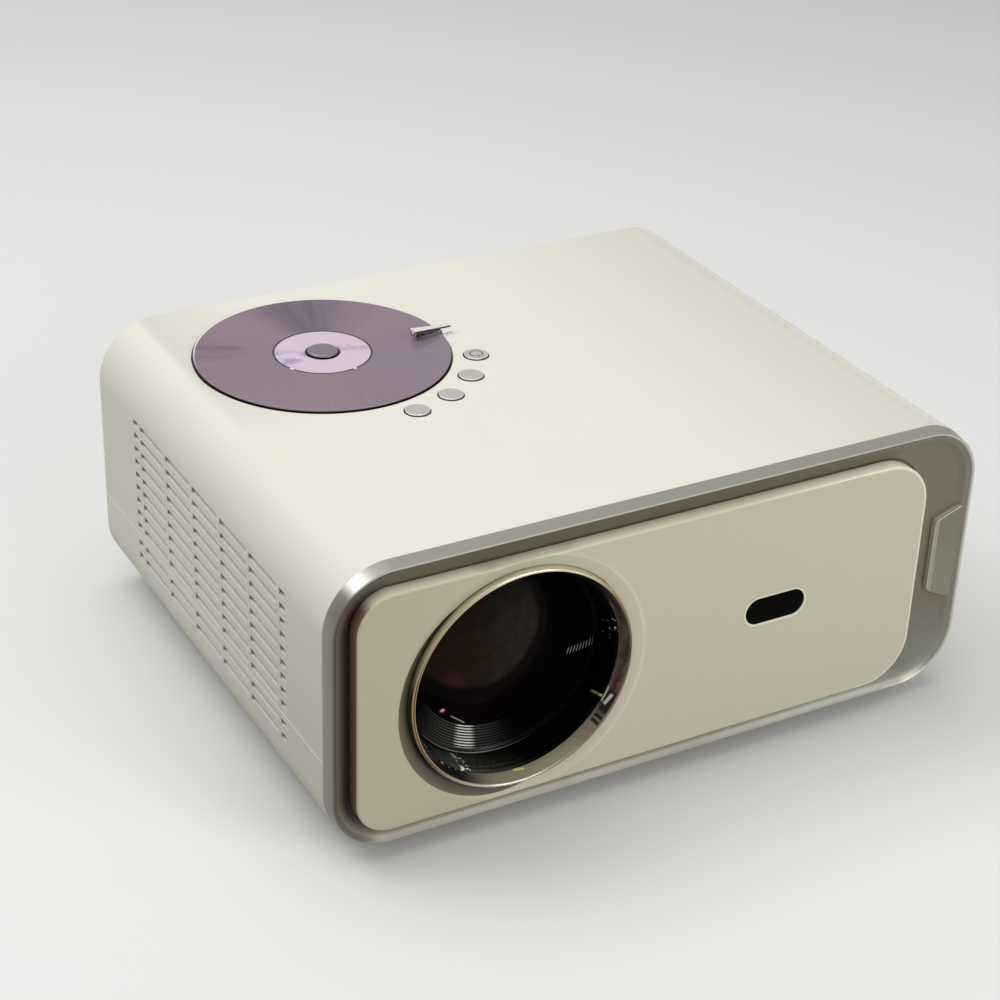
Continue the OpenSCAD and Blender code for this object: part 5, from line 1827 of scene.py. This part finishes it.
@dataclass(frozen=True)
class BaffleBlack:
    """Deep black round the lens that only shines at the lower left, where its ribs are painted grey as lit,
    with painted glints on a few rib crests, the rolled rim and the tube.

    Attributes:
        name: the material's name.
        lens: X and Z of the lens axis in metres.
        rim: Y of the frame's rim in metres.
    """

    name: str
    lens: tuple[float, float]
    rim: float

    def build(self) -> bpy.types.Material:
        """Write the material.

        Returns:
            The material.
        """
        r = Recipe(self.name)
        _, y, _ = r.place()
        radius, angle = r.polar(*self.lens, flat=False)
        # Painted light: the ribs are painted grey at the lower left, with painted white glints on their crests.
        lit = angle.near(-118.0, 42.0)
        bright = angle.near(-112.0, 9.0)
        ribs = radius.step(0.0371, 0.0374) * radius.step(0.0456, 0.0452)
        crown = ((radius - 0.0374) * (2 * math.pi / 0.000975)).sine() * 0.5 + 0.5
        grey = r.blend(crown, (0.005, 0.006, 0.005), (0.075, 0.080, 0.064))
        colour = r.blend(lit * ribs * 0.9, (0.0016, 0.0013, 0.0016), grey)
        colour = r.blend((bright * 2.0).at_most(1.0) * ribs * crown.step(0.5, 0.85), colour, (1.0, 0.98, 0.86))
        # Painted highlight on the rolled rim at the lower left.
        painted_flange_highlight = radius.near(0.0472, 0.0006) * angle.near(-112.0, 46.0)
        colour = r.blend(painted_flange_highlight, colour, (0.34, 0.34, 0.27))
        # Painted glints: a slanting band of them across the rib crests at the right.
        painted_reflection_streak = (angle - (radius - 0.0377) * 1300.0).near(-16.0, 4.0).step(0.1, 0.7)
        colour = r.blend(painted_reflection_streak * ribs * crown.step(0.78, 0.96), colour, (0.50, 0.50, 0.50))
        # Painted light: the tube's wall is painted speckled grey at the lower left, with painted white glints.
        speck = r.noise(700.0, 3.0).step(0.5, 0.7)
        tube = radius.step(0.0478, 0.048) * y.step(self.rim + 0.02, self.rim + 0.004) * angle.near(-115.0, 40.0)
        colour = r.blend(tube * (speck * 0.6 + 0.4), colour, (0.085, 0.085, 0.068))
        glint = tube * angle.near(-119.0, 4.5).step(0.0, 0.4) * r.noise(330.0, 2.0).step(0.53, 0.60)
        colour = r.blend(glint, colour, (0.95, 0.95, 0.84))
        wall = radius.step(0.0478, 0.048) * y.step(self.rim + 0.016, self.rim + 0.012)
        # Painted glints: small pale specks on the tube's wall at the right.
        painted_glint_dots = angle.near(9.0, 12.0).step(0.0, 0.4) * r.noise(520.0, 1.0).step(0.66, 0.71)
        colour = r.blend(wall * painted_glint_dots, colour, (0.80, 0.78, 0.80))
        depth = y - self.rim
        # Painted glint: a thin olive line on the tube's wall.
        painted_green_glint = (angle + depth * 250.0).near(-29.0, 1.1).step(0.1, 0.6) * wall * depth.step(0.009, 0.007)
        colour = r.blend(painted_green_glint, colour, (0.42, 0.44, 0.12))
        shader = r.surface(Base_Color=colour, Roughness=0.45, Specular_IOR_Level=0.03, Coat_Weight=lit * 0.5,
                           Coat_Roughness=0.2, Normal=r.bump(r.noise(1800.0, 2.0), 0.2, 0.00001))
        return r.finish(shader)


@dataclass(frozen=True)
class ArmChrome:
    """Bright chrome of the arm, with a painted dark reflection of the disc on its flank where it hangs over the
    disc, a painted dark line under its top edge near the pin and a painted dark tip face.

    Attributes:
        name: the material's name.
        pivot: X and Y of the pin in metres.
        turn: direction of the arm in degrees.
        tops: height of the upper face at the pin and at the tip in metres.
        reach: length from the pin to the tip in metres.
    """

    name: str
    pivot: tuple[float, float]
    turn: float
    tops: tuple[float, float]
    reach: float

    def build(self) -> bpy.types.Material:
        """Write the material.

        Returns:
            The material.
        """
        r = Recipe(self.name)
        x, y, z = r.place()
        across, along = math.cos(math.radians(self.turn)), math.sin(math.radians(self.turn))
        out = (x - self.pivot[0]) * across + (y - self.pivot[1]) * along
        below = self.tops[0] + out * ((self.tops[1] - self.tops[0]) / self.reach) - z
        shade = r.noise(300.0, 3.0)
        flank = below.step(0.00028, 0.00045)
        over = out.step(0.0050, 0.0062) * out.step(0.0208, 0.0204)
        seam = below.step(0.00024, 0.00034) * below.step(0.0013, 0.0011)
        # Painted reflection: the flank over the disc is painted dark with a mottle.
        dark = r.blend(shade.step(0.4, 0.65), (0.010, 0.008, 0.010), (0.07, 0.06, 0.07))
        colour = r.blend(flank * over, (0.97, 0.90, 0.95), dark)
        # Painted reflection: a dark line under the top edge near the pin.
        colour = r.blend(seam * out.step(-0.001, 0.0) * out.step(0.0065, 0.0055), colour, (0.05, 0.042, 0.045))
        # Painted reflection: the tip's end face is painted dark.
        side = abs((y - self.pivot[1]) * across - (x - self.pivot[0]) * along)
        tip = out.step(0.0206, 0.02075) * (side + below * 0.8).step(0.0021, 0.0024)
        colour = r.blend(tip * 0.85, colour, (0.10, 0.075, 0.09))
        rough = shade * 0.08 + 0.08
        shader = r.surface(Base_Color=colour, Roughness=rough, Metallic=0.35 - flank * over * 0.3,
                           Normal=r.bump(r.noise(900.0, 3.0, 0.6, (6, 1, 1)), 0.2, 0.000002))
        return r.finish(shader)


@dataclass(frozen=True)
class DiscFace:
    """The data disc: a metallised band with painted reflections (fine radial streaks, darker and lighter wedges
    by direction and a pale line on the far rim), a dark groove with painted glints, and a pale hub zone with
    painted bluish reflections.

    Attributes:
        name: the material's name.
        centre: the disc's centre in metres.
        top: height of its upper face in metres.
    """

    name: str
    centre: tuple[float, float]
    top: float

    def build(self) -> bpy.types.Material:
        """Write the material.

        Returns:
            The material.
        """
        r = Recipe(self.name)
        x, y, z = r.place()
        radius, angle = r.polar(*self.centre, flat=True)
        dx, dy = x - self.centre[0], y - self.centre[1]
        spoke = r.node("ShaderNodeCombineXYZ", {}, {"X": dx / radius, "Y": dy / radius, "Z": radius * 1.5}, 0)
        streaks = r.node("ShaderNodeTexNoise", {}, {"Vector": spoke, "Scale": 9.0, "Detail": 5.0}, 0)
        fine = r.node("ShaderNodeTexNoise", {}, {"Vector": spoke, "Scale": 45.0, "Detail": 3.0}, 0)
        # Painted reflections: the band is darker towards the back, lighter towards the back left, the right and
        # the front left, and bluer at the front right, with radial streaks, a streaky dark wedge at the back
        # left and a greyer rim at the front right.
        wide = angle.near(80.0, 50.0)
        painted_dark_wedge = (streaks.step(0.42, 0.58) * 0.6 + fine.step(0.4, 0.6) * 0.4) * angle.near(153.0, 18.0)
        painted_dark_wedge = painted_dark_wedge * radius.step(0.030, 0.044)
        shade = r.blend(wide, (0.285, 0.190, 0.240), (0.104, 0.066, 0.113))
        shade = r.blend(painted_dark_wedge, shade, (0.095, 0.052, 0.075))
        shade = r.blend(angle.near(-35.0, 45.0) * 0.55, shade, (0.250, 0.200, 0.295))
        shade = r.blend(angle.near(112.0, 22.0) * 0.45, shade, (0.35, 0.23, 0.280))
        shade = r.blend(angle.near(18.0, 22.0) * 0.35, shade, (0.33, 0.23, 0.285))
        shade = r.blend(angle.near(-120.0, 45.0) * 0.4, shade, (0.32, 0.228, 0.265))
        shade = r.blend((streaks - 0.5) * 0.7 + 0.3, shade, (0.31, 0.215, 0.270))
        shade = r.blend(fine.step(0.5, 0.75) * 0.16, shade, (0.42, 0.32, 0.39))
        shade = r.blend(fine.step(0.45, 0.25) * 0.18, shade, (0.16, 0.12, 0.15))
        rim_grey = radius.step(0.050, 0.0595) * angle.near(-20.0, 60.0)
        shade = r.blend(rim_grey * 0.4, shade, (0.25, 0.25, 0.27))
        # Painted reflections: bluish patches on the hub zone to the right and the left.
        smudge_and_reflection = r.noise(85.0, 3.0).step(0.45, 0.55) * (angle.near(3.0, 30.0) + abs(angle).near(172.0, 30.0))
        hub = r.blend(smudge_and_reflection * 0.8, (0.79, 0.61, 0.75), (0.36, 0.31, 0.52))
        colour = r.blend(radius.step(0.0232, 0.0234), hub, shade)
        # The groove round the hub zone is dark, with two painted white glints at the front.
        groove = radius.step(0.02225, 0.02245) * radius.step(0.0235, 0.0233)
        painted_groove_glints = angle.near(-153.0, 5.0).step(0.2, 0.7) + angle.near(-73.5, 4.0).step(0.2, 0.7)
        line = r.blend(painted_groove_glints, (0.06, 0.045, 0.055), (0.95, 0.90, 0.88))
        colour = r.blend(groove, colour, line)
        colour = r.blend(radius.step(0.00845, 0.0083), colour, (0.03, 0.025, 0.03))
        under = z.step(self.top - 0.00055, self.top - 0.0008)
        colour = r.blend(under, colour, (0.045, 0.036, 0.042))
        # Painted highlight: a pale line along the rim at the back.
        back = abs(angle - 95.0).step(80.0, 55.0)
        colour = r.blend(radius.step(0.0592, 0.0594) * back, colour, (0.96, 0.93, 0.91))
        rings = (radius * 9000.0).sine() * 0.5 + 0.5
        shader = r.surface(Base_Color=colour, Roughness=fine * 0.06 + 0.28, Metallic=0.25, Coat_Weight=0.45,
                           Coat_Roughness=0.06, Normal=r.bump(rings, 0.05, 0.000001))
        return r.finish(shader)


@dataclass(frozen=True)
class LensCoating:
    """Black coated glass with a painted brown and green reflection at the upper left and a small painted
    magenta glint with a pale trail.

    Attributes:
        name: the material's name.
        lens: X and Z of the lens axis in metres.
        image: X, Z and radius of the painted reflection's round edge, from the axis, in metres.
        flare: X and Z of the painted magenta glint, from the axis, in metres.
    """

    name: str
    lens: tuple[float, float]
    image: Point = (-0.0112, 0.0168, 0.0304)
    flare: tuple[float, float] = (-0.02545, -0.02295)

    def build(self) -> bpy.types.Material:
        """Write the material.

        Returns:
            The material.
        """
        r = Recipe(self.name)
        x, _, z = r.place()
        dx, dz = x - self.lens[0], z - self.lens[1]
        # Painted reflection: a brown and green disc at the upper left, with a reddish patch at its left and a
        # dark plum patch below.
        across, over = dx - self.image[0], dz - self.image[1]
        far = (across * across + over * over).root() + (r.noise(90.0, 3.0) - 0.5) * 0.003
        inside = far.step(self.image[2] + 0.0006, self.image[2] - 0.0035)
        tone = r.blend(dx.step(-0.022, 0.010), (0.0215, 0.0108, 0.0068), (0.0262, 0.0235, 0.0172))
        tone = r.blend((dz - dx * 0.2).step(0.012, 0.032) * 0.6, tone, (0.0075, 0.0055, 0.0045))
        tone = r.blend(r.noise(230.0, 4.0, 0.6).step(0.35, 0.7) * 0.45, tone, (0.0075, 0.0060, 0.0055))
        warm = dx.near(-0.022, 0.010) * dz.near(-0.009, 0.010)
        tone = r.blend(warm * 0.8, tone, (0.050, 0.019, 0.018))
        colour = r.blend(inside, (0.0032, 0.0020, 0.0022), tone)
        plum = dx.near(-0.014, 0.018) * dz.near(-0.024, 0.012)
        colour = r.blend(plum * 0.6, colour, (0.008, 0.0022, 0.006))
        # Painted glint: a small magenta spot with a pale trail.
        spot_x, spot_z = dx - self.flare[0], dz - self.flare[1]
        spot = (spot_x * spot_x + spot_z * spot_z).root()
        colour = r.blend(spot.step(0.0022, 0.0006) * 0.6, colour, (0.38, 0.02, 0.16))
        colour = r.blend(spot.step(0.0012, 0.0005), colour, (1.0, 0.55, 0.85))
        along = (dx + 0.0214) * 0.761 - (dz + 0.0269) * 0.648
        off = abs((dx + 0.0214) * 0.648 + (dz + 0.0269) * 0.761)
        trail = along.step(-0.001, 0.002) * along.step(0.0098, 0.0088) * off.step(0.0004, 0.0001)
        colour = r.blend(trail, colour, (0.70, 0.48, 0.36))
        dust = r.noise(1500.0, 2.0).step(0.72, 0.82)
        colour = r.blend(dust * 0.12, colour, (0.05, 0.045, 0.045))
        shader = r.surface(Base_Color=colour, Roughness=dust * 0.2 + 0.02, Specular_IOR_Level=0.02,
                           Specular_Tint=(0.9, 0.75, 0.8, 1.0))
        return r.finish(shader)


class Palette:
    """Every finish of the object, by the record's material slot."""

    def __init__(self) -> None:
        """Build the finishes once."""
        half, rim, lens = 0.1624, -0.12815, (-0.0748, 0.0736)
        cream = CasingPaint("cream_casing", half, 0.0513)
        silver = FrameMetal("champagne_silver", (half, 0.0678, 0.029), 0.0738, rim)
        beige = PanelPaint("beige_panel", -0.1522, 0.1314, -0.13215, lens)
        black = Finish("black_plastic", (0.012, 0.012, 0.013), 0.38, 0.08, grain=2200,
                       tint=(0.05, 0.05, 0.05))
        self.by_slot: dict[str, bpy.types.Material] = {
            "case_cream": cream.build(),
            "frame_silver": silver.build(),
            "panel_beige": beige.build(),
            "smoked_acrylic": Finish("smoked_window", (0.0024, 0.0019, 0.0017), 0.12, 0.02,
                                     grain_depth=0.000001, tint=(0.004, 0.003, 0.003), shine=0.02).build(),
            "ring_chrome": RingMetal("polished_bronze", lens, rim).build(),
            "lens_black": BaffleBlack("baffle_black", lens, rim).build(),
            "sleeve_black": black.build(),
            "optic_glass": ClearGlass("coated_glass", (0.80, 0.9, 0.9), coat_colour=(0.9, 0.8, 1.0)).build(),
            "fresnel_plastic": ClearGlass("clear_sheet", (0.85, 0.9, 0.92), 0.12).build(),
            "mirror_glass": PolishedMetal("silvered_glass", (0.86, 0.88, 0.89), 0.03).build(),
            "lcd_glass": Finish("panel_glass", (0.03, 0.04, 0.06), 0.12, 0.04, coat=0.5).build(),
            "copper": PolishedMetal("copper_plate", (0.72, 0.40, 0.25), 0.25, (1, 12, 1)).build(),
            "sink_aluminium": PolishedMetal("extruded_aluminium", (0.70, 0.71, 0.73), 0.32, (14, 1, 1)).build(),
            "fan_plastic": Finish("fan_black", (0.025, 0.025, 0.027), 0.45).build(),
            "deck_black": Finish("deck_black", (0.018, 0.016, 0.015), 0.42).build(),
            "plated_steel": PolishedMetal("zinc_plate", (0.60, 0.60, 0.58), 0.3, (1, 5, 1)).build(),
            "disc_mirror": DiscFace("disc_face", (-0.0783, 0.0593), 0.1429).build(),
            "key_metal": KeyMetal("key_silver", 0.1423).build(),
            "arm_chrome": ArmChrome("bright_chrome", (-0.0134, 0.05655), 188.3, (0.14573, 0.1481),
                                    0.021).build(),
            "gear_acetal": Finish("acetal", (0.72, 0.69, 0.60), 0.42, grain_depth=0.00001).build(),
            "circuit_board": Finish("solder_mask", (0.02, 0.14, 0.06), 0.35, coat=0.3, grain=900,
                                    tint=(0.04, 0.2, 0.08), drift=0.5).build(),
            "socket_black": Finish("socket_black", (0.014, 0.014, 0.014), 0.48).build(),
            "foot_rubber": Finish("foot_rubber", (0.022, 0.022, 0.022), 0.75, 0.08, grain=1500,
                                  grain_depth=0.00006, tint=(0.06, 0.06, 0.058), drift=0.4).build(),
            "insert_brass": PolishedMetal("turned_brass", (0.74, 0.56, 0.26), 0.25, (1, 1, 10)).build(),
        }
        self.hub = Finish("hub_mauve", (0.245, 0.20, 0.235), 0.32, 0.05, metal=0.2, coat=0.3,
                          grain_depth=0.000006, tint=(0.18, 0.15, 0.18), drift=0.4).build()
        self.mark = Finish("mark_grey", (0.10, 0.098, 0.095), 0.5).build()
        self.tab = TabMetal("satin_silver", -0.12785).build()
        self.coating = LensCoating("dark_coating", lens).build()

    def dress(self) -> None:
        """Give every solid of the frame the finish of its slot."""
        for entry in frame["record"]["subparts"]:
            solid = frame["nodes"][entry["node"]]
            solid.data.materials.clear()
            solid.data.materials.append(self.by_slot[entry["material_slot"]])


def main() -> None:
    """Build every sub-assembly in order."""
    logging.basicConfig(level=logging.INFO, format="%(message)s")
    bench, palette = Bench(), Palette()
    palette.dress()
    Studio().build()
    slots = palette.by_slot
    keys = KeyRow()

    casing = Casing(keys=tuple(keys.spot(i) for i in range(4)))
    front, lens, player = FrontFace(), LensGroup(), DiscPlayer()
    plan = (
        (casing.upper, "chassis", slots["case_cream"], "case_cream", "upper_case"),
        (casing.lower, "chassis", slots["case_cream"], "case_cream", "lower_case"),
        (casing.cover, "chassis", slots["case_cream"], "case_cream", "rear_cover"),
        (front.frame_ring, "chassis", slots["frame_silver"], "frame_silver", "front_frame"),
        (front.panel_plate, "chassis", slots["panel_beige"], "panel_beige", "front_panel"),
        (front.window_lens, "chassis", slots["smoked_acrylic"], "smoked_acrylic", "ir_window"),
        (front.tab, "chassis", palette.tab, "frame_silver", "side_tab"),
        (front.trim_ring, "chassis", slots["ring_chrome"], "ring_chrome", "lens_trim_ring"),
        (lens.tube, "chassis", slots["lens_black"], "lens_black", "lens_shroud"),
        (lens.baffle, "barrel", slots["lens_black"], "lens_black", "lens_barrel"),
        (lens.front_glass, "barrel", palette.coating, "optic_glass", "front_lens"),
        (player.disc, "spinner", slots["disc_mirror"], "disc_mirror", "disc"),
        (player.centre_key, "centre_key", palette.hub, "key_metal", "centre_key"),
        (player.clamp_arm, "arm", slots["arm_chrome"], "arm_chrome", "swing_arm"),
    )
    for make, body, finish, slot, node in plan:
        bench.settle(make(bench), body, finish, slot, node)
    for index, body in enumerate(("power_key", "key_2", "key_3", "key_4")):
        bench.settle(keys.key(bench, index, f"round_{body}"), body, slots["key_metal"], "key_metal", body)
    bench.settle(keys.power_mark(bench), "power_key", palette.mark, "key_metal")

    LOG.info("sizes written")


if __name__ == "__main__":
    main()
